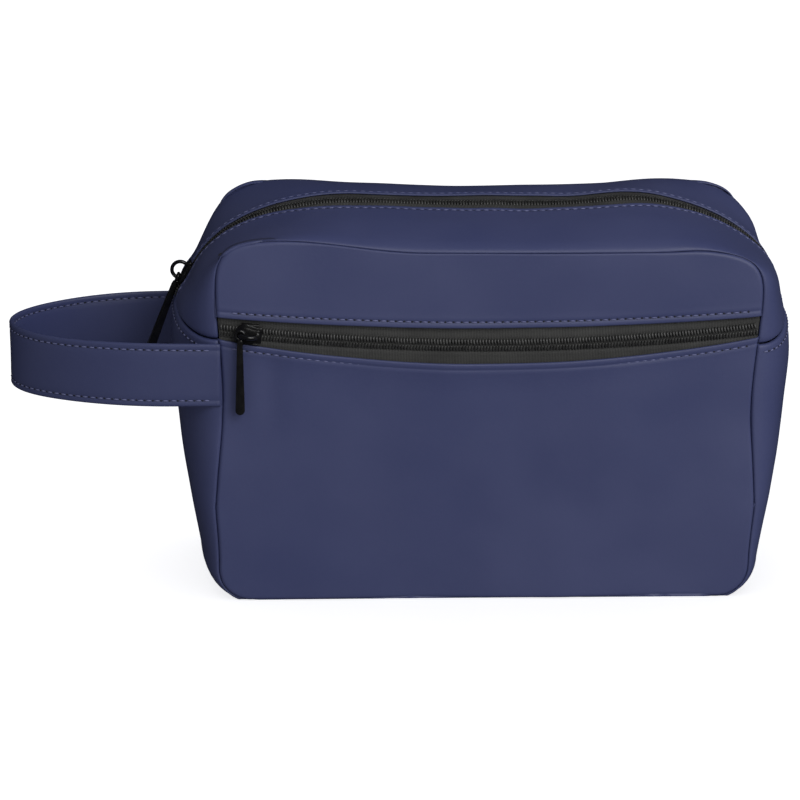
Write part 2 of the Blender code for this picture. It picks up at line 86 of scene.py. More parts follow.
HALF_WIDTH = back_high.x
PANEL_HEIGHT = back_high.z - 0.3 * MM
HALF_DEPTH = back_low.y
FABRIC = back_high.y - back_low.y
FACE = HALF_DEPTH + FABRIC  # from mid-depth to a panel's outer face
EDGE = FACE - 0.3 * MM  # where the gusset meets a panel's face
SWELL_AT_SEAM = gusset_high.x - HALF_WIDTH
SWELL_AT_TOP = lip_high.z - PANEL_HEIGHT
TAPE_FACE = -tape_low.y  # from mid-depth to the front tape's outer face
CHAIN_LOW = 123.9 * MM  # height of the front chain in its middle
CHAIN_SAG = 7.8 * MM  # how much lower that is than its ends
CHAIN_RADIUS = (HALF_WIDTH**2 + CHAIN_SAG**2) / (2 * CHAIN_SAG)
print(f"panels {2 * HALF_WIDTH:.3f} by {PANEL_HEIGHT:.3f} m, {2 * HALF_DEPTH:.3f} m apart")


# %% [markdown]
# ## The shell's shape
#
# A bag like this is two flat panels and a strip between them. Its shape could be sculpted, but a formula
# keeps the seams of neighbouring pieces together. A station counts round the outline, as on a clock: the
# foot, its corner, the side, the shoulder and the top. A turn goes across the strip from seam to seam, as
# the angle of an ellipse, so the fabric leaves each seam steeply and is flattest in the middle.

# %% The outline
FOOT_RADIUS = 16 * MM
SIDE_SEAM = 127 * MM  # height of the seam between the zip gusset and the lower one
SHOULDER_START = 60 * MM
SWELL_AT_FOOT = 4 * MM
PANEL_POWER = 6.0  # of the superellipse that rounds the panels' shoulders
SWELL_POWER = 2.25


def smooth(low, high, value):
    """0 below low, 1 above high and a soft step between."""
    t = min(1.0, max(0.0, (value - low) / (high - low)))
    return t * t * (3 - 2 * t)


def hump(middle, spread, value):
    return math.exp(-(((value - middle) / spread) ** 2))


def roll_back(distance, radius):
    """How far a rounded edge of that radius falls back at this distance from the edge."""
    if distance >= radius:
        return 0.0
    return radius - math.sqrt(max(0.0, radius**2 - (radius - distance) ** 2))


def side_swell(z):
    rest = 1 - z / SIDE_SEAM
    return SWELL_AT_FOOT + (SWELL_AT_SEAM - SWELL_AT_FOOT) * (1 - rest * rest)


def outline(station, swell):
    """(x, z) of the right half: station 0 is the middle of the foot and 5 the middle of the top."""
    foot_side = HALF_WIDTH + swell * side_swell(FOOT_RADIUS)
    step = station - math.floor(station)
    turn = step * math.pi / 2
    if 3 <= station < 4:
        # A superellipse runs fast at both ends, so the station eases in and out of it.
        turn = step**2 / (step**2 + (1 - step) ** 2) * math.pi / 2
    if station < 1:
        return step * (foot_side - FOOT_RADIUS), 0.0
    if station < 2:
        return foot_side - FOOT_RADIUS * (1 - math.sin(turn)), FOOT_RADIUS * (1 - math.cos(turn))
    if station < 3:
        z = FOOT_RADIUS + step * (SIDE_SEAM - FOOT_RADIUS)
        return HALF_WIDTH + swell * side_swell(z), z
    top = PANEL_HEIGHT + swell * SWELL_AT_TOP
    if station < 4:
        power = PANEL_POWER + swell * (SWELL_POWER - PANEL_POWER)
        side = HALF_WIDTH + swell * SWELL_AT_SEAM
        x = SHOULDER_START + (side - SHOULDER_START) * math.cos(turn) ** (2 / power)
        return x, SIDE_SEAM + (top - SIDE_SEAM) * math.sin(turn) ** (2 / power)
    return SHOULDER_START * (5 - station), top


def drawn_in(x, z, back=False):
    """Where a panel's point really lies: the seams draw the sides in at the waist."""
    waist = 3.6 * MM * hump(0.098, 0.036, z) - 1.6 * MM * hump(0.02, 0.022, z)
    moved = x - math.copysign(waist * (x / HALF_WIDTH) ** 6, x)
    if back and x > 0:
        moved += 3.0 * MM * (x / HALF_WIDTH) ** 3 * smooth(0.135, 0.165, z)
    return moved


def slip(x, z, turn):
    """How far the seam across a side has ridden up. It dips at the front and climbs towards the back."""
    front, back = (-0.3, 12.0) if x < 0 else (-2.8, 7.5)
    ridden = (front + (back - front) * smooth(-1.4, 0.7, turn)) * MM
    return ridden * hump(SIDE_SEAM, 0.016, z) * smooth(0.1, 0.12, abs(x))


def true_outline(station, swell):
    """(x, z) all the way round: stations 5 to 10 mirror the right half on the left."""
    station = station % 10
    left = station > 5
    x, z = outline(10 - station if left else station, swell)
    return (-x if left else x), z


def seam_level(station, back=False):
    """(x, z) of a panel's seam, before the waist draws it in and the sides slip."""
    x, z = true_outline(station, 0)
    high = smooth(0.12, 0.16, z)
    if back:
        rise = 9.0 * MM - 3.6 * MM * hump(0.0, 0.055, x) + 4.4 * MM * hump(-0.108, 0.021, x)
        return x, z + high * (rise + 5.0 * MM * smooth(0.06, 0.115, x))
    z += high * (5.6 * MM * smooth(-0.03, -0.1, x) - 0.6 * MM * hump(0.01, 0.075, x))
    return x, z + high * 0.9 * MM * hump(0.098, 0.012, x)


def seam_flat(station, back=False):
    """(x, z) of a panel's seam, before the waist draws it in."""
    x, z = seam_level(station, back)
    return x, z + slip(x, z, math.pi / 2 if back else -math.pi / 2)


def seam_line(station, back=False):
    """(x, z) of a panel's seam, which sewing and use have pulled a little out of true."""
    x, z = seam_flat(station, back)
    return drawn_in(x, z, back), z


def crown_line(station):
    """(x, z) of the gusset at mid-depth."""
    x, z = true_outline(station, 1)
    x -= 4.4 * MM * hump(0.137, 0.014, z) if x > 0 else -4.6 * MM * hump(0.144, 0.016, z)
    fuller = 0.6 * MM + 1.2 * MM * hump(-0.07, 0.035, x) + 2.2 * MM * hump(0.085, 0.03, x)
    return x, z + smooth(0.15, 0.18, z) * fuller


def crease(x, z):
    """How deep a seam's crease is: shallow along the middle of the top, where the layers lie flat."""
    return 1 - 0.62 * smooth(0.152, 0.166, z) * smooth(0.105, 0.06, abs(x))


def swell_point(station, turn):
    """A point on the gusset's nominal face. turn is -90 degrees at the front seam and 90 at the back."""
    back = smooth(-0.9, 1.0, turn)
    near = Vector(seam_level(station)).lerp(Vector(seam_level(station, True)), back)
    x, z = near.lerp(Vector(crown_line(station)), math.cos(turn))
    # The top is fullest behind the zip, so the zip tips towards the front.
    z += 4.8 * MM * math.sin(turn) * math.cos(turn) * smooth(0.15, 0.175, z)
    z += slip(x, z, turn)
    if x > 0:
        x += 3.4 * MM * hump(0.95, 0.55, turn) * (x / HALF_WIDTH) ** 3 * smooth(0.14, 0.165, z)
    pulled = (1 - back) * drawn_in(near.x, z) + back * drawn_in(near.x, z, True) - near.x
    return Vector((x + pulled * (1 - math.cos(turn)), EDGE * math.sin(turn), z))


def swell_normal(station, turn, step=0.01):
    along = swell_point(station + step, turn) - swell_point(station - step, turn)
    across = swell_point(station, turn + step) - swell_point(station, turn - step)
    return across.cross(along).normalized()


def crumple(point, size, depth):
    """A gentle unevenness, the same for every layer that lies at one place."""
    return depth * noise.noise(point / size)


ALLOWANCE = 3.5 * MM  # how far a piece turns in past its seam
GUSSET_ROLL = 1.5 * MM
SEAM_ROLL = 1.7 * MM  # the radius at which a panel rolls into its seam


def swell_surface(station, turn, rise=0.0):
    """A point rise metres out from the gusset's real, slightly uneven face."""
    edge = math.copysign(math.pi / 2, turn)
    if abs(turn) > math.pi / 2:
        # Past the seam the allowance turns straight in.
        seam = swell_surface(station, edge * 0.99999, rise)
        past = min(1.0, (abs(turn) - math.pi / 2) * 10)
        return seam - Vector((0, math.copysign(ALLOWANCE, turn), 0)) * past
    point = swell_point(station, turn)
    uneven = crumple(point, 0.045, 1.1 * MM) + crumple(point + Vector((3, 1, 2)), 0.02, 0.35 * MM)
    lie_flat = smooth(0.0, 0.02, point.z)
    moved = point + swell_normal(station, turn) * (rise + uneven * lie_flat * math.cos(turn) ** 2)
    # Beside the seam the fabric dives into the crease.
    from_seam = (point - swell_point(station, edge)).length
    moved.y -= math.copysign(roll_back(from_seam, GUSSET_ROLL * crease(point.x, point.z)), turn)
    return moved


# %% [markdown]
# The front panel is almost flat. It rolls back into the seam all round, sags a little under its own
# weight, and carries the marks of what hangs on it.

# %% The front panel's surface
seam_ring = [Vector(seam_line(i / 20)) for i in range(200)]


def seam_distance(x, z, ring=seam_ring):
    """How far a point of a panel is from its seam."""
    here = Vector((x, z))
    best = 1.0
    for a, b in zip(ring, ring[1:] + ring[:1]):
        side = b - a
        t = min(1.0, max(0.0, (here - a).dot(side) / side.length_squared))
        best = min(best, (here - a - side * t).length)
    return best


def panel_y(x, z):
    """The front panel's face, without its edges."""
    point = Vector((x, 0, z))
    belly = 1.6 * MM * math.cos(x / HALF_WIDTH * 1.45) * math.sin(math.pi * min(1.0, z / 0.135))
    uneven = crumple(point, 0.06, 1.7 * MM) + crumple(point + Vector((5, 2, 1)), 0.025, 0.5 * MM)
    pressed = 0.9 * MM * hump(-0.101, 0.006, x) * smooth(0.128, 0.112, z) * smooth(0.07, 0.1, z)
    return -(FACE + belly + uneven - pressed)


def panel_surface(x, z, rise=0.0):
    fall = roll_back(seam_distance(x, z), SEAM_ROLL * crease(x, z))
    return Vector((x, panel_y(x, z) + fall - rise, z))


def tucked(point, towards):
    """A seam allowance: past the seam the panel turns straight into the bag."""
    return point + Vector((0, towards * ALLOWANCE, 0))


# %% [markdown]
# ## Laying pieces on the shell
#
# Each fabric piece starts as a flat grid whose vertices are then moved onto the surface, one column and row
# at a time. A grid could be wrapped by a modifier instead, but moving it by formula lets seams, hems and
# zips follow exactly the same lines.

# %% Grids that follow a surface
SHELL_CLOTH = 0.7 * MM  # what each of these sheets is thickened to
ZIP_CLOTH = 0.5 * MM
LINING_CLOTH = 0.3 * MM


def keep(name, bm, *materials):
    """A smooth-shaded object from a bmesh."""
    mesh = bpy.data.meshes.new(name)
    bm.to_mesh(mesh)
    bm.free()
    mesh.shade_smooth()
    made = bpy.data.objects.new(name, mesh)
    bpy.context.scene.collection.objects.link(made)
    for material in materials:
        mesh.materials.append(material)
    print(f"{name}: {len(mesh.polygons)} faces")
    return made


def keep_solid(name, bm, *materials):
    """A closed shape, whose faces can be turned outwards without help."""
    bmesh.ops.recalc_face_normals(bm, faces=bm.faces)
    return keep(name, bm, *materials)


def keep_cloth(name, bm, material, thickness=SHELL_CLOTH):
    """A sheet with a real thickness, grown inwards from its face."""
    made = keep(name, bm, material)
    wall = made.modifiers.new("thickness", "SOLIDIFY")
    wall.thickness = thickness
    wall.offset = -1
    wall.use_rim = True
    return made


def laid_grid(columns, rows, surface):
    """A bmesh grid whose vertex at column i and row j is at surface(columns[i], rows[j])."""
    bm = bmesh.new()
    n, m = len(columns) - 1, len(rows) - 1
    bmesh.ops.create_grid(bm, x_segments=n, y_segments=m, size=1.0)
    for vertex in bm.verts:
        i = round((vertex.co.x + 1) / 2 * n)
        j = round((vertex.co.y + 1) / 2 * m)
        vertex.co = surface(columns[i], rows[j])
    return bm


def face_towards(bm, direction):
    """Turns the whole sheet over if its faces look away from direction."""
    total = Vector()
    for face in bm.faces:
        face.normal_update()
        total += face.normal * face.calc_area()
    if total.dot(Vector(direction)) < 0:
        bmesh.ops.reverse_faces(bm, faces=bm.faces)


def face_out(bm, centre=(0, 0, 0.09)):
    """Turns a strip over if its faces look in towards the middle of the bag."""
    total = 0.0
    for face in bm.faces:
        face.normal_update()
        total += face.normal.dot(face.calc_center_median() - Vector(centre)) * face.calc_area()
    if total < 0:
        bmesh.ops.reverse_faces(bm, faces=bm.faces)


def steps(first, last, count):
    return [first + (last - first) * i / count for i in range(count + 1)]


def measured(point_at, values):
    """A curve's length, and a function from the distance along it, from its middle, back to a value."""
    reach = [0.0]
    for a, b in zip(values, values[1:]):
        reach.append(reach[-1] + (point_at(b) - point_at(a)).length)

    def value_at(along):
        target = min(reach[-1], max(0.0, along + reach[-1] / 2))
        low = min(len(values) - 2, bisect.bisect_right(reach, target) - 1)
        step = (target - reach[low]) / (reach[low + 1] - reach[low])
        return values[low] + (values[low + 1] - values[low]) * step

    return reach[-1], value_at


# %% [markdown]
# ## Materials
#
# The fabric is woven polyester with a soft matte coating: no weave shows, only a fine grain, a slight
# mottling and a broad sheen. Effects that several finishes share are node groups: grain gives a fine bump,
# mottle a slow change of colour and its mask, and rib the fine ribs of a woven tape, with painted shade
# in their grooves.

# %% Node helpers
def new_group(name, inputs, outputs):
    """A node group. inputs pairs each label with its default: a number or a colour."""
    group = bpy.data.node_groups.new(name, "ShaderNodeTree")
    for label, value in inputs.items():
        kind = "NodeSocketFloat" if isinstance(value, float) else "NodeSocketColor"
        group.interface.new_socket(name=label, in_out="INPUT", socket_type=kind).default_value = value
    for label, kind in outputs.items():
        group.interface.new_socket(name=label, in_out="OUTPUT", socket_type=f"NodeSocket{kind}")
    return group, group.nodes.new("NodeGroupInput").outputs, group.nodes.new("NodeGroupOutput").inputs


def node(tree, kind, feeds=(), **settings):
    """The outputs of a new node. feeds gives its inputs: a socket to link from, or a plain value."""
    made = tree.nodes.new(kind)
    for key, value in settings.items():
        setattr(made, key, value)
    for label, value in dict(feeds).items():
        if isinstance(value, bpy.types.NodeSocket):
            tree.links.new(value, made.inputs[label])
        else:
            made.inputs[label].default_value = value
    return made.outputs


def build_mottle():
    """Two colours mixed by slow noise over the object's own space."""
    group, given, out = new_group(
        "mottle",
        {"Colour": (0.05, 0.05, 0.1, 1), "Worn": (0.06, 0.06, 0.12, 1), "Scale": 14.0, "Fine": 900.0},
        {"Colour": "Color", "Mask": "Float"},
    )
    place = node(group, "ShaderNodeTexCoord")["Object"]
    slow = node(group, "ShaderNodeTexNoise", {"Vector": place, "Scale": given["Scale"], "Detail": 3.0})
    fine = node(group, "ShaderNodeTexNoise", {"Vector": place, "Scale": given["Fine"], "Detail": 2.0})
    both = node(group, "ShaderNodeMath", {0: fine["Fac"], 1: 0.35, 2: slow["Fac"]}, operation="MULTIPLY_ADD")
    mask = node(group, "ShaderNodeMapRange", {"Value": both[0], "From Min": 0.5, "From Max": 0.85})["Result"]
    mix = node(
        group, "ShaderNodeMix", {"Factor": mask, "A": given["Colour"], "B": given["Worn"]}, data_type="RGBA"
    )
    group.links.new(mix["Result"], out["Colour"])
    group.links.new(mask, out["Mask"])
    return group


def build_grain():
    """The fine pebble of a coated cloth, as a height."""
    group, given, out = new_group("grain", {"Scale": 1600.0, "Soft Scale": 260.0}, {"Height": "Float"})
    place = node(group, "ShaderNodeTexCoord")["Object"]
    pebble = node(
        group, "ShaderNodeTexVoronoi", {"Vector": place, "Scale": given["Scale"]}, feature="SMOOTH_F1"
    )
    soft = node(group, "ShaderNodeTexNoise", {"Vector": place, "Scale": given["Soft Scale"]})
    total = node(
        group, "ShaderNodeMath", {0: pebble["Distance"], 1: 0.5, 2: soft["Fac"]}, operation="MULTIPLY_ADD"
    )
    group.links.new(total[0], out["Height"])
    return group


def build_rib():
    """Fine ribs across X, from a wave over the object's own space, with painted shade darkening the grooves.
    """
    group, given, out = new_group(
        "rib", {"Scale": 440.0, "Groove Shade": (0.01, 0.01, 0.01, 1), "Colour": (0.03, 0.03, 0.03, 1)},
        {"Colour": "Color", "Height": "Float"},
    )
    place = node(group, "ShaderNodeTexCoord")["Object"]
    wave = node(
        group, "ShaderNodeTexWave",
        {"Vector": place, "Scale": given["Scale"], "Distortion": 1.2, "Detail Scale": 3.0},
        wave_type="BANDS", bands_direction="X",
    )
    mix = node(
        group, "ShaderNodeMix", {"Factor": wave["Fac"], "A": given["Groove Shade"], "B": given["Colour"]},
        data_type="RGBA",
    )
    group.links.new(mix["Result"], out["Colour"])
    group.links.new(wave["Fac"], out["Height"])
    return group


MOTTLE, GRAIN, RIB = build_mottle(), build_grain(), build_rib()
print("node groups:", [group.name for group in bpy.data.node_groups])


# %% Finishes
def set_inputs(material, **values):
    for label, value in values.items():
        material.node_tree.nodes["Principled BSDF"].inputs[label.replace("_", " ")].default_value = value


def finish_of(name, colour, worn, roughness, scale=14.0, fine=900.0, bump=0.15, grain=1600.0):
    """A Principled material fed by the mottle and grain groups."""
    made = bpy.data.materials.new(name)
    made.use_nodes = True
    tree = made.node_tree
    shader = tree.nodes["Principled BSDF"].inputs
    mottle = node(
        tree, "ShaderNodeGroup",
        {"Colour": (*colour, 1), "Worn": (*worn, 1), "Scale": scale, "Fine": fine}, node_tree=MOTTLE,
    )
    rough = node(
        tree, "ShaderNodeMapRange",
        {"Value": mottle["Mask"], "To Min": roughness - 0.05, "To Max": roughness + 0.06},
    )
    pebble = node(tree, "ShaderNodeGroup", {"Scale": grain}, node_tree=GRAIN)
    raised = node(
        tree, "ShaderNodeBump", {"Strength": bump, "Distance": 0.2 * MM, "Height": pebble["Height"]}
    )
    tree.links.new(mottle["Colour"], shader["Base Color"])
    tree.links.new(rough["Result"], shader["Roughness"])
    tree.links.new(raised["Normal"], shader["Normal"])
    return made


coated = finish_of("coated_fabric", (0.034, 0.042, 0.111), (0.040, 0.048, 0.121), 0.5)
# Painted shade: the strap's copy of the coated cloth is a little darker than the panels', though it is the
# same cloth.
strap_cloth_shaded = finish_of("strap_fabric", (0.032, 0.039, 0.104), (0.037, 0.045, 0.113), 0.5)
for cloth in (coated, strap_cloth_shaded):
    set_inputs(cloth, Specular_IOR_Level=0.42)
thread = finish_of(
    "thread", (0.080, 0.088, 0.185), (0.115, 0.123, 0.23), 0.6, fine=4000.0, bump=0.3, grain=4500.0
)
# Painted shade: the needle holes' near-black navy stands for the shade inside each hole.
needle_hole_shade = finish_of("needle_hole_shade", (0.007, 0.008, 0.02), (0.009, 0.010, 0.024), 0.8)
tape_cloth = finish_of(
    "zip_tape", (0.034, 0.034, 0.032), (0.054, 0.054, 0.051), 0.8, scale=60, bump=0.5, grain=2600.0
)
coil_nylon = finish_of("zip_coil", (0.018, 0.018, 0.018), (0.040, 0.040, 0.038), 0.38, scale=300, bump=0.05)
black_metal = finish_of(
    "black_metal", (0.004, 0.004, 0.005), (0.008, 0.008, 0.008), 0.2, scale=200, bump=0.02
)
inner_cloth = finish_of("lining", (0.02, 0.02, 0.023), (0.028, 0.028, 0.032), 0.62, bump=0.35, grain=2200.0)

# A tape's ribs raise it and darken its grooves with painted shade, over the colour and the bump it has
# already.
tape_tree = tape_cloth.node_tree
tape_shader = tape_tree.nodes["Principled BSDF"].inputs
plain, smoother = (tape_shader[label].links[0].from_socket for label in ("Base Color", "Normal"))
# The groove colour given here is painted shade between the ribs.
ribs = node(tape_tree, "ShaderNodeGroup", {"Groove Shade": (0.017, 0.017, 0.016, 1), "Colour": plain}, node_tree=RIB)
raised = node(
    tape_tree, "ShaderNodeBump",
    {"Strength": 0.5, "Distance": 0.15 * MM, "Height": ribs["Height"], "Normal": smoother},
)
tape_tree.links.new(ribs["Colour"], tape_shader["Base Color"])
tape_tree.links.new(raised["Normal"], tape_shader["Normal"])
print(len(bpy.data.materials), "materials")

# %% [markdown]
# ## How the soft mouths move
#
# The main zip's two lips turn about the top seams, but in a real bag only their middle can lift: their
# ends stay sewn. So each vertex gets its own share of the lip's motion, full in the middle and nothing at
# the zip's ends. The pocket's lip folds out in the same way.

# %% Shares of a lip's motion
def mouth_share(point):
    """How much of the main lips' turn a point follows. Nothing moves at the top seams themselves."""
    loose = smooth(EDGE, EDGE - 14 * MM, abs(point.y))
    return smooth(0.132, 0.045, abs(point.x)) * smooth(0.155, 0.17, point.z) * loose


def pocket_share(point):
    return smooth(0.112, 0.05, abs(point.x)) * smooth(0.088, 0.106, point.z)


def bend_with(obj, body, share):
    """obj follows the bag, and body as far as share says at each vertex."""
    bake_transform(obj, "bag", body, start=(0, 0, 0), end=(0, 0, 1))
    shares = obj.data.attributes["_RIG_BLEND"].data
    for vertex, item in zip(obj.data.vertices, shares):
        item.value = share(vertex.co)
    return obj


def on_lip(obj, side):
    return bend_with(obj, f"{side}_lip", mouth_share)


# %% [markdown]
# ## Lower gusset
#
# One strip runs down a side, under the bag and up the other side. Its two edges turn in past the seams, so
# no gap shows in the creases.

# %% Lower gusset
near_seam = [math.radians(a) for a in (98, 90, 89.5, 88.9, 88, 86.8, 85, 82.5, 79, 74, 68)]
half_across = near_seam + steps(math.radians(62), 0.0, 14)
turns_across = [-a for a in half_across] + list(reversed(half_across[:-1]))
side_stations = steps(0.0, 1.0, 22)[:-1] + steps(1.0, 2.0, 12)[:-1] + steps(2.0, 2.95, 28)
side_stations += [2.965, 2.975, 2.983, 2.989, 2.994, 2.998]
around = [-s for s in reversed(side_stations[1:])] + side_stations


def lower_surface(station, turn):
    """The strip's top edges roll in where the zip gusset is sewn on."""
    ends = roll_back((2.998 - abs(station)) * 0.111, 1.6 * MM)
    return swell_surface(station, turn, -ends)


bm = laid_grid(around, turns_across, lower_surface)
face_out(bm)
lower = keep_cloth("lower_gusset_fabric", bm, coated, FABRIC)
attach(lower, "bag")
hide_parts("lower_gusset")

# %% [markdown]
# ## Zip gusset
#
# Above the side seams the strip is two halves, one on each side of the zip. Each has a hem: the fabric
# folds under along the zip, with a row of stitches beside the fold. The fold is drawn by the first few rows
# of the grid, which come up from under the edge.

# %% Zip gusset halves
WINDOW = 10.2 * MM  # half the width of tape that shows
STITCH_IN = 3.0 * MM  # from a hem's fold to its stitches
FOLD_RADIUS = 0.8 * MM
HEM_HEIGHT = 0.35 * MM
OPEN_FROM = math.radians(66)  # from here to the seam the rows lie the same all along the zip


def hem_rise(inward):
    """The height of a hem at this distance from its fold: doubled cloth, pulled down along its stitches."""
    if inward < FOLD_RADIUS:
        return HEM_HEIGHT - roll_back(inward, FOLD_RADIUS)
    pulled = 0.45 * MM * hump(STITCH_IN, 0.7 * MM, inward)
    return HEM_HEIGHT * smooth(6.5 * MM, 2.4 * MM, inward) - pulled


def turn_at(depth):
    return math.asin(max(-1.0, min(1.0, depth / EDGE)))


def window_at(station):
    """Half the tape that shows there: the hems close up round the shoulders."""
    return WINDOW * (1 - 0.45 * smooth(0.06, 0.12, abs(true_outline(station, 1)[0])))


# Where a hem's rows lie, in millimetres from its fold. The first row comes up from under it.
hem_rows = [("under", 0.8)] + [
    ("hem", d) for d in (0.0, 0.1, 0.3, 0.6, 0.9, 1.4, 2.0, 2.6, 3.0, 3.4, 4.0, 5.2, 6.6)
]
HEM_WIDTH = hem_rows[-1][1] * MM
UNDER = -0.75 * FABRIC  # how far the folded edge lies below the face
shoulder = [3.0, 3.004, 3.012, 3.022, 3.035, 3.05] + steps(3.07, 3.93, 52) + [3.95, 3.975]
zip_stations = shoulder + steps(4.0, 6.0, 60)[:-1] + [10 - s for s in reversed(shoulder)]
for side, sign in (("front", -1), ("back", 1)):
    first = turn_at(WINDOW + HEM_WIDTH)
    across = hem_rows + [("open", angle) for angle in steps(first, OPEN_FROM, 16)[1:]]
    across += [("open", angle) for angle in reversed(near_seam[:-1])]

    def zip_surface(station, row, sign=sign):
        kind, value = row
        from_end = min(station - 3, 7 - station)
        ends = roll_back(from_end * 0.05, 1.2 * MM) + 0.7 * MM * smooth(0.3, 0.0, from_end)
        if kind != "open":
            rise = UNDER if kind == "under" else hem_rise(value * MM)
            return swell_surface(station, sign * turn_at(window_at(station) + value * MM), rise - ends)
        # What the hem gains as the window closes is shared out over the cloth beside it.
        near = turn_at(window_at(station) + HEM_WIDTH)
        share = min(1.0, (value - first) / (OPEN_FROM - first))
        angle = near + (OPEN_FROM - near) * share if share < 1 else value
        return swell_surface(station, sign * angle, -ends)

    bm = laid_grid(zip_stations, across, zip_surface)
    face_out(bm)
    half = keep_cloth(f"zip_gusset_fabric_{side}", bm, coated)
    on_lip(half, side)
    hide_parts(*(f"zip_gusset_{side}{end}" for end in ("", "_left", "_right")))


# %% [markdown]
# ## Panels
#
# The back panel is plain. The front one is cut in two by the pocket's zip: its upper and lower parts end in
# hems that follow the zip's sag, so the grid's rows follow the hem at one end and the seam at the other.

# %% The window in the front panel
def chain_z(x):
    return CHAIN_LOW + CHAIN_RADIUS - math.sqrt(CHAIN_RADIUS**2 - x * x)


def window_top(x):
    return chain_z(x) + 8.3 * MM - 2.3 * MM * (x / HALF_WIDTH) ** 2


def window_foot(x):
    share = x / HALF_WIDTH
    return chain_z(x) - 8.2 * MM + 4.0 * MM * share**2 + 0.2 * MM * share


# Columns crowd together towards the seams, where the panels roll over.
columns = steps(0.0, 0.1, 36) + [
    HALF_WIDTH - d * MM for d in (
        24, 22, 20, 18, 16, 14, 12, 10.5, 9, 7.5, 6, 5, 4, 3.2, 2.5,
        2, 1.6, 1.25, 0.95, 0.7, 0.5, 0.32, 0.18, 0.08, 0.03, 0,
    )
]
columns = sorted({round(x, 6) for x in columns} | {round(-x, 6) for x in columns})
print(len(columns), "columns across the panels")


def top_half(line, parts, back=False):
    """(x, z) points of a line over the top, from the left side seam to the right one."""
    return sorted((line(3 + s / parts, back) for s in range(4 * parts + 1)), key=lambda point: point[0])


def height_on(points, x):
    """Height of a line of (x, z) points, sorted by x."""
    for (x0, z0), (x1, z1) in zip(points, points[1:]):
        if x <= x1:
            return z0 + (z1 - z0) * max(0.0, (x - x0)) / max(1e-9, x1 - x0)
    return points[-1][1]


# %% Upper front panel
crown_points = top_half(seam_flat, 200)
crown_of = {x: height_on(crown_points, x) for x in columns}
CLOSE = (0.8, 0.86, 0.9, 0.93, 0.952, 0.968, 0.98, 0.988, 0.994, 0.998, 1.0)  # rows near a seam
TUCKED = 2.0  # the last row, turned in past the seam
upper_rows = hem_rows + [("open", t) for t in (*steps(0, 0.75, 16)[1:], *CLOSE, TUCKED)]


def upper_surface(x, row):
    kind, value = row
    foot, crown = window_top(x), crown_of[x]
    span = max(0.0, crown - foot)
    hem = min(HEM_WIDTH, 0.6 * span)
    if kind == "open":
        z, rise = foot + hem + (span - hem) * min(1.0, value), 0.0
    else:
        z = foot + hem * value * MM / HEM_WIDTH
        rise = UNDER if kind == "under" else hem_rise(value * MM)
    point = panel_surface(drawn_in(x, z), z, rise)
    return tucked(point, 1) if value == TUCKED and kind == "open" else point


bm = laid_grid(columns, upper_rows, upper_surface)
face_towards(bm, (0, -1, 0))
upper = keep_cloth("front_panel_upper_fabric", bm, coated)
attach(upper, "bag")
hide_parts("front_panel_upper")

# %% Lower front panel
foot_points = sorted((seam_flat(-2 + s / 50) for s in range(201)), key=lambda p: p[0])
foot_of = {x: height_on(foot_points, x) for x in columns}
lower_rows = steps(0, 0.87, 34)[1:] + [0.5 + t / 2 for t in CLOSE] + [TUCKED]
lower_rows = hem_rows + [("open", t) for t in lower_rows]


def lower_panel_surface(x, row):
    kind, value = row
    top, foot = window_foot(x), foot_of[x]
    start = top - HEM_WIDTH
    z = start + (foot - start) * min(1.0, value) if kind == "open" else top - value * MM
    rise = 1.3 * MM * hump(0, 0.07, x) * smooth(14 * MM, 0, top - z)
    if kind == "under":
        rise = UNDER
    elif kind == "hem":
        rise += hem_rise(value * MM)
    point = panel_surface(drawn_in(x, z), z, rise)
    return tucked(point, 1) if value == TUCKED and kind == "open" else point


bm = laid_grid(columns, lower_rows, lower_panel_surface)
face_towards(bm, (0, -1, 0))
pocket_front = keep_cloth("front_panel_lower_fabric", bm, coated)
bend_with(pocket_front, "pocket_lip", pocket_share)
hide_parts("front_panel_lower", "pocket_lip_panel")

# %% Back panel
back_ring = [Vector(seam_line(i / 20, True)) for i in range(200)]
back_crown = top_half(seam_flat, 200, True)
back_rows = [-1.0, 0.0, 0.006, 0.015, 0.03, 0.05] + steps(0.08, 0.9, 40)
back_rows += [0.5 + t / 2 for t in CLOSE[4:]] + [TUCKED]
back_span = {x: (height_on(foot_points, x), height_on(back_crown, x)) for x in columns}


def back_surface(x, share):
    foot, crown = back_span[x]
    z = foot + (crown - foot) * min(1.0, max(0.0, share))
    point = Vector((x, 9, z))
    belly = 1.4 * MM * math.cos(x / HALF_WIDTH * 1.45) * math.sin(math.pi * min(1.0, z / 0.168))
    uneven = crumple(point, 0.06, 1.3 * MM) + crumple(point + Vector((5, 2, 1)), 0.025, 0.35 * MM)
    across = drawn_in(x, z, True)
    fall = roll_back(seam_distance(across, z, back_ring), SEAM_ROLL)
    point = Vector((across, FACE + belly + uneven - fall, z))
    return tucked(point, -1) if share == TUCKED or share < 0 else point


bm = laid_grid(columns, back_rows, back_surface)
face_towards(bm, (0, 1, 0))
back = keep_cloth("back_panel_fabric", bm, coated)
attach(back, "bag")
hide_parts("back_panel")

# %% [markdown]
# ## Zips
#
# A coil zip is two woven tapes, each with a nylon spiral sewn to its edge. What shows from outside is a row
# of small ribs on each side of a fine zigzag. Each rib is one turn of the spiral, so a turn is modelled once
# and repeated along a straight line with a spin that doesn't turn, and the whole row is then bent onto the
# zip's path: the distance along it, across it and out of it become a place on the bag.

# %% A straight zip, and its paths
COIL_PITCH = 1.41 * MM
COIL_INNER = 0.25 * MM
COIL_OUTER = 3.2 * MM
COIL_HEIGHT = 1.3 * MM


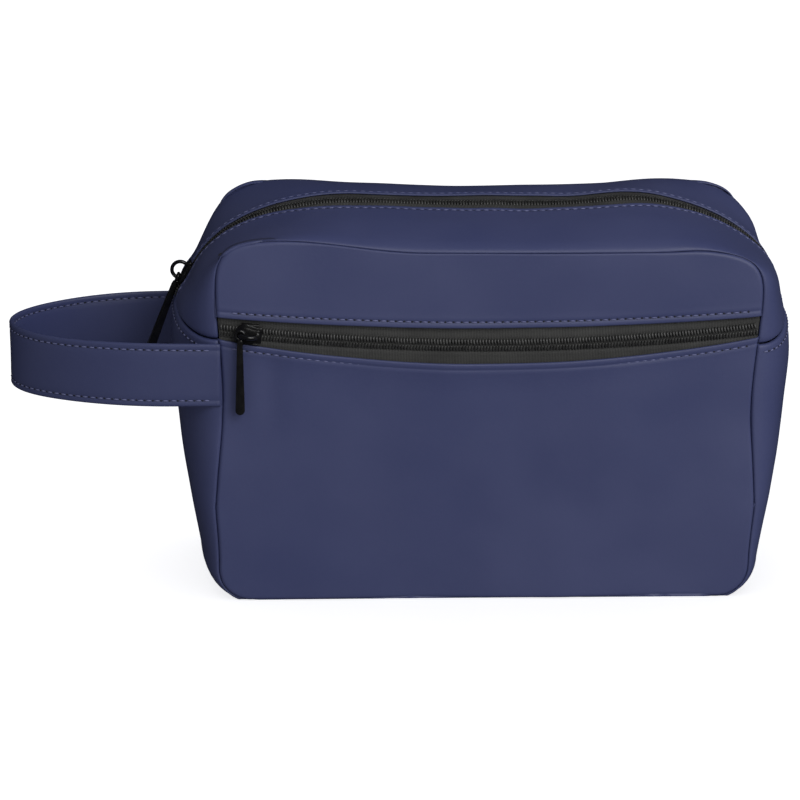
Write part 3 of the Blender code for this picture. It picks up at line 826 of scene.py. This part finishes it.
def coil_row(length):
    """One side's turns: rounded bars across the chain, with a head that reaches past the middle."""
    bm = bmesh.new()
    count = int(length / COIL_PITCH)
    middle, reach = (COIL_INNER + COIL_OUTER) / 2, (COIL_OUTER - COIL_INNER) / 2
    shape = Matrix.Translation((-length / 2, middle, COIL_HEIGHT / 2))
    shape = shape @ Matrix.Diagonal((0.44 * COIL_PITCH, reach, COIL_HEIGHT / 2, 1))
    bmesh.ops.create_uvsphere(bm, u_segments=8, v_segments=6, radius=1.0, matrix=shape)
    for vertex in bm.verts:
        # Squarer ends make a bar of the ball, and its head leans along the chain to meet the other side.
        t = (vertex.co.y - middle) / reach
        vertex.co.y = middle + math.copysign(abs(t) ** 0.6, t) * reach
        vertex.co.x += 0.25 * COIL_PITCH * smooth(0.2, -1.0, t)
        vertex.co.z += 0.3 * MM * smooth(-0.3, -1.0, t) - 0.7 * MM * smooth(-0.2, 1.0, t)
    bmesh.ops.spin(
        bm, geom=bm.verts[:] + bm.edges[:] + bm.faces[:], cent=(0, 0, 0), axis=(0, 0, 1),
        dvec=(COIL_PITCH, 0, 0), angle=0.0, steps=count, use_duplicate=True,
    )
    return bm


def bent(bm, path, sign):
    """Moves a straight row onto a path. sign is 1 for the side above or behind, -1 for the other."""
    shift = 0.5 * COIL_PITCH if sign < 0 else 0.0
    for vertex in bm.verts:
        x, y, z = vertex.co
        vertex.co = path(x + shift, sign * y, z)
    return bm


def front_path(along, across, out):
    turn = along / CHAIN_RADIUS
    radius = CHAIN_RADIUS - across
    z = CHAIN_LOW + CHAIN_RADIUS - math.cos(turn) * radius
    return Vector((math.sin(turn) * radius, -(TAPE_FACE + out), z))


# Distances along the main zip count from its middle, positive towards the left end.
MAIN_LENGTH, station_at = measured(lambda station: swell_point(station, 0), steps(3.0, 7.0, 400))
print(f"main zip {MAIN_LENGTH:.3f} m along its curve")
TAPE_SINK = 0.9 * MM


def main_path(along, across, out):
    """The tape's face lies just under the fabric."""
    return swell_surface(station_at(along), turn_at(across), out - TAPE_SINK)


# %% Tapes and coils
TAPE_ROWS = [0.0, 0.25, 0.8, 1.6, 2.4, 3.2, 3.6, 4.4, 5.4, 6.4, 7.6, 9.5, 12.0, 15.0]  # mm from the middle


def tape_bulge(across):
    """A tape steps down outside its coil, over the row that sews the coil on."""
    return 0.25 * MM * hump(4.3 * MM, 0.6 * MM, across)


def zip_half(path, length, sign, parts, in_panel=False):
    """One tape's face, on its side of the chain."""
    def surface(along, row):
        point = path(along, sign * row * MM, tape_bulge(row * MM))
        if in_panel:
            # The tape ends in the panel's side seams.
            reach = drawn_in(HALF_WIDTH, point.z) - 0.4 * MM
            point.x = min(reach, max(-reach, point.x))
        return point

    return laid_grid(steps(-length / 2, length / 2, parts), TAPE_ROWS, surface)


front_length = 2 * CHAIN_RADIUS * math.asin((HALF_WIDTH - 1.0 * MM) / CHAIN_RADIUS)
for where, sign, nodes_of in (
    ("upper", 1, ["front_tape_upper"]),
    ("lower", -1, ["front_tape_lower", "front_tape_lower_left", "front_tape_lower_right"]),
):
    bm = zip_half(front_path, front_length, sign, 130, in_panel=True)
    face_towards(bm, (0, -1, 0))
    tape = keep_cloth(f"front_tape_{where}_weave", bm, tape_cloth, ZIP_CLOTH)
    turns = bent(coil_row(front_length - 3.6 * MM), front_path, sign)
    coil = keep_solid(f"front_coil_{where}_turns", turns, coil_nylon)
    for made, kind in ((tape, "tape"), (coil, "coil")):
        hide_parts(*(n.replace("tape", kind) for n in nodes_of))
        if where == "upper":
            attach(made, "bag")
        else:
            bend_with(made, "pocket_lip", pocket_share)

for side, sign in (("front", -1), ("back", 1)):
    bm = zip_half(main_path, MAIN_LENGTH - 2 * MM, sign, 220)
    face_out(bm)
    tape = keep_cloth(f"main_tape_{side}_weave", bm, tape_cloth, ZIP_CLOTH)
    turns = bent(coil_row(MAIN_LENGTH - 3 * MM), main_path, sign)
    coil = keep_solid(f"main_coil_{side}_turns", turns, coil_nylon)
    for made, kind in ((tape, "tape"), (coil, "coil")):
        on_lip(made, side)
        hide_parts(*(f"main_{kind}_{side}{end}" for end in ("", "_left", "_right")))


# %% [markdown]
# ## Stitches
#
# A lockstitch shows as short dashes of thread that dive into the cloth at each needle hole. Each dash is a
# small ball stretched along the seam, and each hole a dark one sunk between two dashes: painted shade
# where the thread goes into the cloth.

# %% Stitch rows
STITCH_PITCH = 3.8 * MM
DASH = (0.35 * STITCH_PITCH, 0.38 * MM, 0.3 * MM)  # half its length, width and height
HOLE = (0.55 * MM, 0.6 * MM, 0.2 * MM)
THREAD_LIFT = 0.18 * MM


def stitch_row(name, path, length):
    """path(along) gives a point on the cloth and its outward direction."""
    bm = bmesh.new()
    count = max(1, int(length / STITCH_PITCH))
    start = -count * STITCH_PITCH / 2
    for i in range(count):
        middle = start + (i + 0.5) * STITCH_PITCH
        point, out = path(middle)
        ahead, _ = path(middle + 0.5 * MM)
        along = (ahead - point).normalized()
        across = out.cross(along).normalized()
        axes = Matrix((along, across, out)).transposed().to_4x4()
        hole_at, _ = path(middle + STITCH_PITCH / 2)
        for place, size in ((point + out * THREAD_LIFT, DASH), (hole_at, HOLE)):
            first_new = len(bm.faces)
            bmesh.ops.create_uvsphere(
                bm, u_segments=6, v_segments=4, radius=1.0,
                matrix=Matrix.Translation(place) @ axes @ Matrix.Diagonal((*size, 1)),
            )
            bm.faces.ensure_lookup_table()
            for face in bm.faces[first_new:]:
                # The holes take the near-black second finish, painted shade in the holes.
                face.material_index = 1 if size is HOLE else 0
    return keep_solid(name, bm, thread, needle_hole_shade)


def on_panel(height_at):
    """A path over the front panel, height_at(x) high."""
    def path(along):
        return panel_surface(along, height_at(along)), Vector((0, -1, 0))
    return path


def on_gusset(station_of, turn_of, rise):
    def path(along):
        s, t = station_of(along), turn_of(along)
        return swell_surface(s, t, rise), swell_normal(s, t)
    return path


UPPER_ROW, LOWER_ROW = 0.240, 0.242  # lengths of the pocket's two rows
row = stitch_row("stitches_pocket_upper", on_panel(lambda x: window_top(x) + STITCH_IN), UPPER_ROW)
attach(row, "bag")
row = stitch_row("stitches_pocket_lower", on_panel(lambda x: window_foot(x) - STITCH_IN), LOWER_ROW)
bend_with(row, "pocket_lip", pocket_share)
for side, sign in (("front", -1), ("back", 1)):
    def hem_turn(along, sign=sign):
        return sign * turn_at(window_at(station_at(along)) + STITCH_IN)

    path = on_gusset(station_at, hem_turn, hem_rise(STITCH_IN))
    on_lip(stitch_row(f"stitches_main_{side}", path, MAIN_LENGTH - 8 * MM), side)

# %% [markdown]
# The seams across the sides carry one more row, just below the seam, that holds its allowance down.

# %% Side seam rows
SIDE_LENGTH, side_turn = measured(lambda turn: swell_point(2.94, turn), steps(-1.45, 1.45, 60))
for end, station in (("right", 2.965), ("left", 7.035)):
    path = on_gusset(lambda along, station=station: station, side_turn, 0.05 * MM)
    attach(stitch_row(f"stitches_side_{end}", path, SIDE_LENGTH), "bag")

# %% [markdown]
# ## Strap
#
# The strap is one long piece of the same cloth, folded to four layers and sewn along both edges. It could
# be a flat ribbon, but its thickness and its soft edges show from every side. A section is laid round the
# loop: rounded edges, thinnest along the stitches and fullest in the middle.

# %% Strap loop
strap_low, strap_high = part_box("carry_strap")
STRAP_HALF = (strap_high.z - strap_low.z) / 2
STRAP_Z = (strap_high.z + strap_low.z) / 2 + 2.2 * MM
STRAP_PIVOT_X = strap_high.x - STRAP_HALF
STRAP_TIP_X = strap_low.x + 5.0 * MM
STRAP_Y = strap_high.y - 0.9 * MM
ROOT_X = -HALF_WIDTH + 2.6 * MM


def strap_middle(along):
    """(point, outward) in plan. along is 0 at the front root and 1 at the back one."""
    straight = 0.085
    reach = STRAP_PIVOT_X - STRAP_TIP_X
    if along < straight or along > 1 - straight:
        t = min(along, 1 - along) / straight
        sign = -1 if along < 0.5 else 1
        return Vector((ROOT_X + (STRAP_PIVOT_X - ROOT_X) * t, sign * STRAP_Y)), Vector((0, sign))
    turn = (along - straight) / (1 - 2 * straight) * math.pi
    x, y = STRAP_PIVOT_X - reach * math.sin(turn), -STRAP_Y * math.cos(turn)
    out = Vector((-math.sin(turn) / reach, -math.cos(turn) / STRAP_Y))
    return Vector((x, y)), out.normalized()


def strap_thickness(height):
    """Half the strap's thickness at a height from its middle."""
    edge = STRAP_HALF - abs(height)
    sewn = 0.35 * MM * hump(3.0 * MM, 0.9 * MM, edge)
    fullness = 1.15 * MM * math.sqrt(max(0.0, 1 - max(0.0, 1 - edge / (1.2 * MM)) ** 2))
    return fullness - sewn


def strap_point(along, height, face):
    """face is 1 on the outside of the loop and -1 inside."""
    middle, out = strap_middle(along)
    droop = -0.6 * MM * math.sin(math.pi * along) + 0.4 * MM * math.sin(along * 9)
    wave = 0.3 * MM * math.sin(along * 23 + height * 90)
    flat = middle + out * (face * strap_thickness(height) + wave)
    return Vector((flat.x, flat.y, STRAP_Z + height + droop))


def on_strap(obj):
    """The sewn roots stay with the bag, and what is past them swings."""
    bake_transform(obj, "bag", "strap", start=(-0.129, 0, STRAP_Z), end=(-0.163, 0, STRAP_Z))


inner_heights = [h * MM for h in (-14.9, -14.6, -14.0, -13.0, -12.3, -12.0, -11.7, -11.0, -9, -5, 0)]
profile = [-STRAP_HALF] + inner_heights + [-h for h in reversed(inner_heights[:-1])] + [STRAP_HALF]
section = [(h, 1) for h in profile] + [(h, -1) for h in reversed(profile[:-1])]
bm = laid_grid(steps(0, 1, 150), section, lambda a, hf: strap_point(a, hf[0], hf[1]))
bmesh.ops.remove_doubles(bm, verts=bm.verts, dist=0.00002)
bmesh.ops.holes_fill(bm, edges=[e for e in bm.edges if e.is_boundary], sides=0)
# Its finish is the darker copy of the coated cloth, painted shade on the strap.
strap = keep_solid("carry_strap_cloth", bm, strap_cloth_shaded)
on_strap(strap)
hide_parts("carry_strap", "strap_root_front", "strap_root_back")

# %% Strap stitches
STRAP_LENGTH, strap_along = measured(lambda along: strap_middle(along)[0], steps(0.0, 1.0, 200))
print(f"strap {STRAP_LENGTH:.3f} m round the loop")
for edge, height in (("low", -12.0 * MM), ("high", 12.0 * MM)):
    for layer, face in (("outer", 1), ("inner", -1)):
        def strap_row(distance, height=height, face=face):
            along = strap_along(distance)
            _, out = strap_middle(along)
            return strap_point(along, height, face), Vector((out.x, out.y, 0)) * face

        on_strap(stitch_row(f"stitches_strap_{layer}_{edge}", strap_row, STRAP_LENGTH - 6 * MM))

# %% [markdown]
# ## Sliders and pulls
#
# A slider is cast: a waisted top plate with flanges that hold the chain, a wire arch along its middle, and a
# long flat pull that hangs from the arch by an eye. Plates are drawn as an outline, extruded and bevelled,
# and the arch is a circle spun through half a turn.

# %% Slider parts
PLATE_FOOT = 2.9 * MM  # the top plate's underside, out from the tape
SLIDER_LENGTH = 12.4 * MM
SLIDER_WIDTH = 9.8 * MM
ARCH_RADIUS = 3.9 * MM
ARCH_FOOT = 4.4 * MM
PULL_LEVEL = 6.0 * MM  # height of the arch's centre
WIRE = 0.9 * MM
EYE_RADIUS = 1.95 * MM
EYE_WIRE = 0.75 * MM
PULL_LENGTH = 38 * MM
PULL_THICK = 1.9 * MM


def cast(name, bm, place, body, *nodes_of, sharp=None):
    """A finished metal part, put in its place and riding on its body."""
    bmesh.ops.transform(bm, matrix=place, verts=bm.verts)
    made = keep_solid(name, bm, black_metal)
    if sharp:
        made.data.set_sharp_from_angle(angle=sharp)
    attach(made, body)
    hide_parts(*nodes_of)


def plate(bm, outline_points, low, high, soft):
    """An extruded outline with softened edges, added to a bmesh."""
    face = bm.faces.new([bm.verts.new((x, y, low)) for x, y in outline_points])
    made = bmesh.ops.extrude_face_region(bm, geom=[face])["geom"]
    lifted = [piece for piece in made if isinstance(piece, bmesh.types.BMVert)]
    bmesh.ops.translate(bm, verts=lifted, vec=(0, 0, high - low))
    sides = {edge for vertex in lifted for edge in vertex.link_edges}
    every = list(sides | set(face.edges))
    bmesh.ops.recalc_face_normals(bm, faces=bm.faces)
    bmesh.ops.bevel(
        bm, geom=every, offset=soft, segments=2, profile=0.5, affect="EDGES", material=-1, clamp_overlap=True
    )


def slider_outline(half, taper, length=SLIDER_LENGTH):
    """Seen from above: wide and pointed at the nose, waisted, and square at the tail."""
    shares = [(-1, 0.3), (-0.8, 0.72), (-0.45, 1), (-0.1, 0.98)]
    shares += [(0.35, taper), (0.7, 0.74), (0.95, 0.8), (1, 0.66)]
    upper = [(x * length / 2, y * half) for x, y in shares]
    return upper + [(x, -y) for x, y in reversed(upper)]


def slider_body(name, place, body, node_name):
    """Two plates, the saddle on the upper one, a flange along each side, and the web that parts the chain."""
    bm = bmesh.new()
    half, long = SLIDER_WIDTH / 2, SLIDER_LENGTH / 2
    plate(bm, slider_outline(half, 0.84), PLATE_FOOT, PLATE_FOOT + 1.3 * MM, 0.35 * MM)
    saddle = slider_outline(half - 1.6 * MM, 0.8, SLIDER_LENGTH - 2.4 * MM)
    plate(bm, saddle, PLATE_FOOT + 1.2 * MM, PLATE_FOOT + 1.75 * MM, 0.25 * MM)
    plate(bm, slider_outline(half - 0.4 * MM, 0.84), -1.9 * MM, -0.9 * MM, 0.3 * MM)
    for sign in (-1, 1):
        corners = [(-0.6, 0.9), (-0.55, 0.15), (0.75, 0.1), (0.75, 0.9)]
        flange = [(x * long, sign * (half - inset * MM)) for x, inset in corners]
        plate(bm, flange, 0.8 * MM, PLATE_FOOT + 0.6 * MM, 0.2 * MM)
    web = [(0.3 * long, -0.3 * MM), (0.3 * long, 0.3 * MM), (0.9 * long, 0.9 * MM), (0.9 * long, -0.9 * MM)]
    plate(bm, web, -1.2 * MM, PLATE_FOOT + 0.4 * MM, 0.1 * MM)
    cast(name, bm, place, body, node_name, sharp=math.radians(40))


def slider_bridge(name, place, body, node_name):
    """Half a ring of wire along the slider's length, whose legs end in two cast feet."""
    bm = bmesh.new()
    bmesh.ops.create_circle(bm, segments=14, radius=WIRE, cap_ends=False)
    start = Matrix.Translation((-ARCH_RADIUS, 0, PULL_LEVEL)) @ Matrix.Diagonal((1, 1.15, 1, 1))
    bmesh.ops.transform(bm, matrix=start, verts=bm.verts)
    bmesh.ops.spin(
        bm, geom=bm.edges[:], cent=(0, 0, PULL_LEVEL), axis=(0, 1, 0), dvec=(0, 0, 0), angle=math.pi,
        steps=20, use_duplicate=False,
    )
    ends = [e for e in bm.edges if e.is_boundary]
    made = bmesh.ops.extrude_edge_only(bm, edges=ends)["geom"]
    lowered = [v for v in made if isinstance(v, bmesh.types.BMVert)]
    bmesh.ops.translate(bm, verts=lowered, vec=(0, 0, ARCH_FOOT - 0.5 * MM - PULL_LEVEL))
    bmesh.ops.holes_fill(bm, edges=[e for e in bm.edges if e.is_boundary], sides=0)
    for sign in (-1, 1):
        foot = Matrix.Translation((sign * ARCH_RADIUS, 0, ARCH_FOOT))
        foot = foot @ Matrix.Diagonal((1.5 * MM, 1.7 * MM, 0.8 * MM, 1))
        bmesh.ops.create_uvsphere(bm, u_segments=14, v_segments=8, radius=1.0, matrix=foot)
    cast(name, bm, place, body, node_name)


def pull_tab(name, place, node_name, twist=0.0):
    """Drawn with its eye at the origin and hanging along X."""
    bm = bmesh.new()
    bmesh.ops.create_circle(bm, segments=12, radius=EYE_WIRE, cap_ends=False)
    swing = Matrix.Translation((0, EYE_RADIUS, 0)) @ Matrix.Rotation(math.radians(90), 4, "Y")
    bmesh.ops.transform(bm, matrix=swing, verts=bm.verts)
    bmesh.ops.spin(
        bm, geom=bm.edges[:], cent=(0, 0, 0), axis=(0, 0, 1), dvec=(0, 0, 0), angle=math.tau, steps=24,
        use_merge=True, use_duplicate=False,
    )
    top, end = 1.35 * MM, 2.2 * MM  # half the tab's width where it starts and at its round end
    rounded = [(PULL_LENGTH - end + end * math.sin(a), -end * math.cos(a)) for a in steps(0, math.pi, 10)]
    tab = [(2.0 * MM, -0.9 * MM), (3.6 * MM, -top)] + rounded + [(3.6 * MM, top), (2.0 * MM, 0.9 * MM)]
    eye = set(bm.verts)
    plate(bm, tab, -PULL_THICK / 2, PULL_THICK / 2, 0.4 * MM)
    flat = [vertex for vertex in bm.verts if vertex not in eye]
    bmesh.ops.rotate(bm, verts=flat, cent=(0, 0, 0), matrix=Matrix.Rotation(twist, 3, "X"))
    cast(name, bm, place, node_name, node_name, sharp=math.radians(40))


def frame_at(point, along, out):
    """A slider's own axes at a point of its zip: along the chain, across it and out of it."""
    across = out.cross(along)
    made = Matrix((along, across, out)).transposed().to_4x4()
    made.translation = point
    return made


# %% Placing the sliders
FRONT_SLIDER_X = -111.5 * MM
tilt = math.asin(FRONT_SLIDER_X / CHAIN_RADIUS)
front_place = frame_at(
    Vector((FRONT_SLIDER_X, -(TAPE_FACE - 0.3 * MM), chain_z(FRONT_SLIDER_X))),
    Vector((math.cos(tilt), 0, math.sin(tilt))), Vector((0, -1, 0)),
)
slider_body("front_slider_plates", front_place, "front_slider", "front_slider_body")
slider_bridge("front_slider_arch", front_place, "front_slider", "front_slider_bridge")
hang = front_place @ Matrix.Translation((-ARCH_RADIUS, 0, PULL_LEVEL))
pull_tab("front_pull_tab", hang @ Matrix.Rotation(-math.pi / 2 - tilt, 4, "Z"), "front_pull")

main_joint = next(j for j in frame["joints"] if j["name"] == "main_slider_arc")
MAIN_SLIDER_STATION = 6.69
MAIN_SLIDER_SUNK = FABRIC + 1.3 * MM
stop = swell_point(MAIN_SLIDER_STATION, 0)
out = (stop - Vector(main_joint["pos_m"])).normalized()
main_place = frame_at(stop - out * MAIN_SLIDER_SUNK, Vector((out.z, 0, -out.x)), out)
slider_body("main_slider_plates", main_place, "main_slider", "main_slider_body")
slider_bridge("main_slider_arch", main_place, "main_slider", "main_slider_bridge")
lean = Matrix.Translation((0, 0, PULL_LEVEL)) @ Matrix.Rotation(math.radians(-9), 4, "Y")
hang = main_place @ lean @ Matrix.Translation((-ARCH_RADIUS, 0, 0)) @ Matrix.Rotation(math.pi, 4, "Z")
pull_tab("main_pull_tab", hang, "main_pull", twist=math.radians(62))

# %% [markdown]
# ## Inside
#
# The inside shows when the zip is open: a loose lining on the walls, the pocket's back wall, and the tape
# that binds the seams. Lining hangs looser than the shell, so it gets deeper, broader creases.

# %% Lining
INSET = 1.9 * MM


def lining_surface(station, turn):
    point = swell_point(station, turn)
    loose = abs(crumple(point, 0.03, 2.2 * MM)) + 0.2 * MM
    return point - swell_normal(station, turn) * (INSET + loose)


lining_side = steps(0.0, 2.0, 24)[:-1] + steps(2.0, 2.93, 24)
lining_round = [-s for s in reversed(lining_side[1:])] + lining_side
bm = laid_grid(lining_round, steps(math.radians(-52), math.radians(62), 26), lining_surface)
face_out(bm)
bmesh.ops.reverse_faces(bm, faces=bm.faces)
side_lining = keep_cloth("lining_gusset_cloth", bm, inner_cloth, LINING_CLOTH)
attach(side_lining, "bag")
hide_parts("lining_gusset")


def wall_grid(name, y, reach, slack, node_name, towards):
    """A flat wall of lining, cut to the bag's outline less a margin."""
    inner, margin = top_half(seam_line, 100), 3 * MM

    def surface(x, share):
        foot = height_on(foot_points, x * 0.97) + margin
        crown = height_on(inner, x * 0.97) - margin
        z = foot + (crown - foot) * share
        return Vector((x, y + slack * noise.noise(Vector((x, y * 7, z)) / 0.035), z))

    bm = laid_grid(steps(-reach, reach, 50), steps(0, 1, 40), surface)
    face_towards(bm, towards)
    wall = keep_cloth(name, bm, inner_cloth, LINING_CLOTH)
    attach(wall, "bag")
    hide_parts(node_name)


wall_grid(
    "lining_back_cloth", HALF_DEPTH - 1.4 * MM, HALF_WIDTH - 3.5 * MM, 0.9 * MM, "lining_back", (0, -1, 0)
)
wall_grid(
    "pocket_divider_cloth", -HALF_DEPTH + 9.2 * MM, HALF_WIDTH + 3 * MM, 1.2 * MM, "pocket_divider", (0, 1, 0)
)


# %% Seam bindings
def binding(side, sign):
    """A folded tape round the seam allowances, as a flattened tube that follows the seam inside."""
    middle = Vector((0, 0.084))  # of the panel, which the tape's width points to

    def surface(station, turn):
        seam = Vector(seam_line(station, sign > 0))
        inward = (middle - seam).normalized()
        spot = seam + inward * (5.0 * MM + 2.9 * MM * math.cos(turn))
        return Vector((spot.x, sign * (HALF_DEPTH - 4.0 * MM) + 0.55 * MM * math.sin(turn), spot.y))

    bm = laid_grid([s / 12 for s in range(120)] + [0.0], steps(0, math.tau, 10), surface)
    bmesh.ops.remove_doubles(bm, verts=bm.verts, dist=0.00002)
    made = keep_solid(f"{side}_binding_tape", bm, inner_cloth)
    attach(made, "bag")
    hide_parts(f"{side}_seam_binding")


binding("front", -1)
binding("back", 1)

# %% [markdown]
# ## Stage, light and camera
#
# The bag stands on a pale floor under large soft lights, seen from a little above and a little to the left
# through a long lens.

# %% Stage
bm = bmesh.new()
bmesh.ops.create_grid(bm, x_segments=1, y_segments=1, size=6.0)
floor_finish = finish_of("floor", (0.8, 0.8, 0.8), (0.81, 0.81, 0.81), 0.8, bump=0.0)
set_inputs(floor_finish, Emission_Color=(1, 1, 1, 1), Emission_Strength=0.74)
floor = keep("floor", bm, floor_finish)
floor.location.z = -0.0002
floor.visible_diffuse = False
floor.visible_glossy = False

ROOM_LIGHT = 0.52
ROOM_IN_REFLECTIONS = 0.003
world = bpy.data.worlds.new("studio")
bpy.context.scene.world = world
world.use_nodes = True
room = world.node_tree
sky = room.nodes["Background"].inputs
sky["Color"].default_value = (0.98, 0.99, 1.05, 1)
# Glossy rays see a darker room, as between black flags, so the outline stays deep in colour.
glossy = node(room, "ShaderNodeLightPath")["Is Glossy Ray"]
dimmed = node(
    room, "ShaderNodeMapRange", {"Value": glossy, "To Min": ROOM_LIGHT, "To Max": ROOM_IN_REFLECTIONS}
)
room.links.new(dimmed["Result"], sky["Strength"])

# The softboxes light the bag alone, so the floor stays even and keeps only the soft shadow of contact.
off_floor = bpy.data.collections.new("lit_by_softboxes")
off_floor.objects.link(floor)
off_floor.collection_objects[0].light_linking.link_state = "EXCLUDE"


def softbox(name, place, target, size, power):
    light = bpy.data.lights.new(name, "AREA")
    light.shape = "RECTANGLE"
    light.size, light.size_y = size
    light.energy = power
    made = bpy.data.objects.new(name, light)
    bpy.context.scene.collection.objects.link(made)
    made.location = place
    made.rotation_euler = (Vector(target) - Vector(place)).to_track_quat("-Z", "Y").to_euler()
    made.light_linking.receiver_collection = off_floor


softbox("key", (1.2, -1.6, 1.25), (0, 0, 0.08), (2.4, 2.0), 43)
softbox("accent", (0.25, -0.9, 0.9), (0, 0, 0.1), (0.35, 0.25), 1.6)
bpy.context.scene.view_settings.view_transform = "Standard"

# %% Camera
AZIMUTH, ELEVATION, DISTANCE = math.radians(-3.3), math.radians(16), 1.3
TARGET = Vector((-0.0384, 0, 0.0833))
FRAME_WIDTH = 0.387
lens = bpy.data.cameras.new("camera")
lens.sensor_width = 36  # mm, as is the lens
lens.lens = lens.sensor_width * DISTANCE / FRAME_WIDTH
camera = bpy.data.objects.new("camera", lens)
bpy.context.scene.collection.objects.link(camera)
flat = math.cos(ELEVATION)
camera.location = TARGET + DISTANCE * Vector(
    (math.sin(AZIMUTH) * flat, -math.cos(AZIMUTH) * flat, math.sin(ELEVATION))
)
ROLL = Quaternion((0, 0, 1), math.radians(0.7))
camera.rotation_euler = ((TARGET - camera.location).to_track_quat("-Z", "Y") @ ROLL).to_euler()
bpy.context.scene.camera = camera
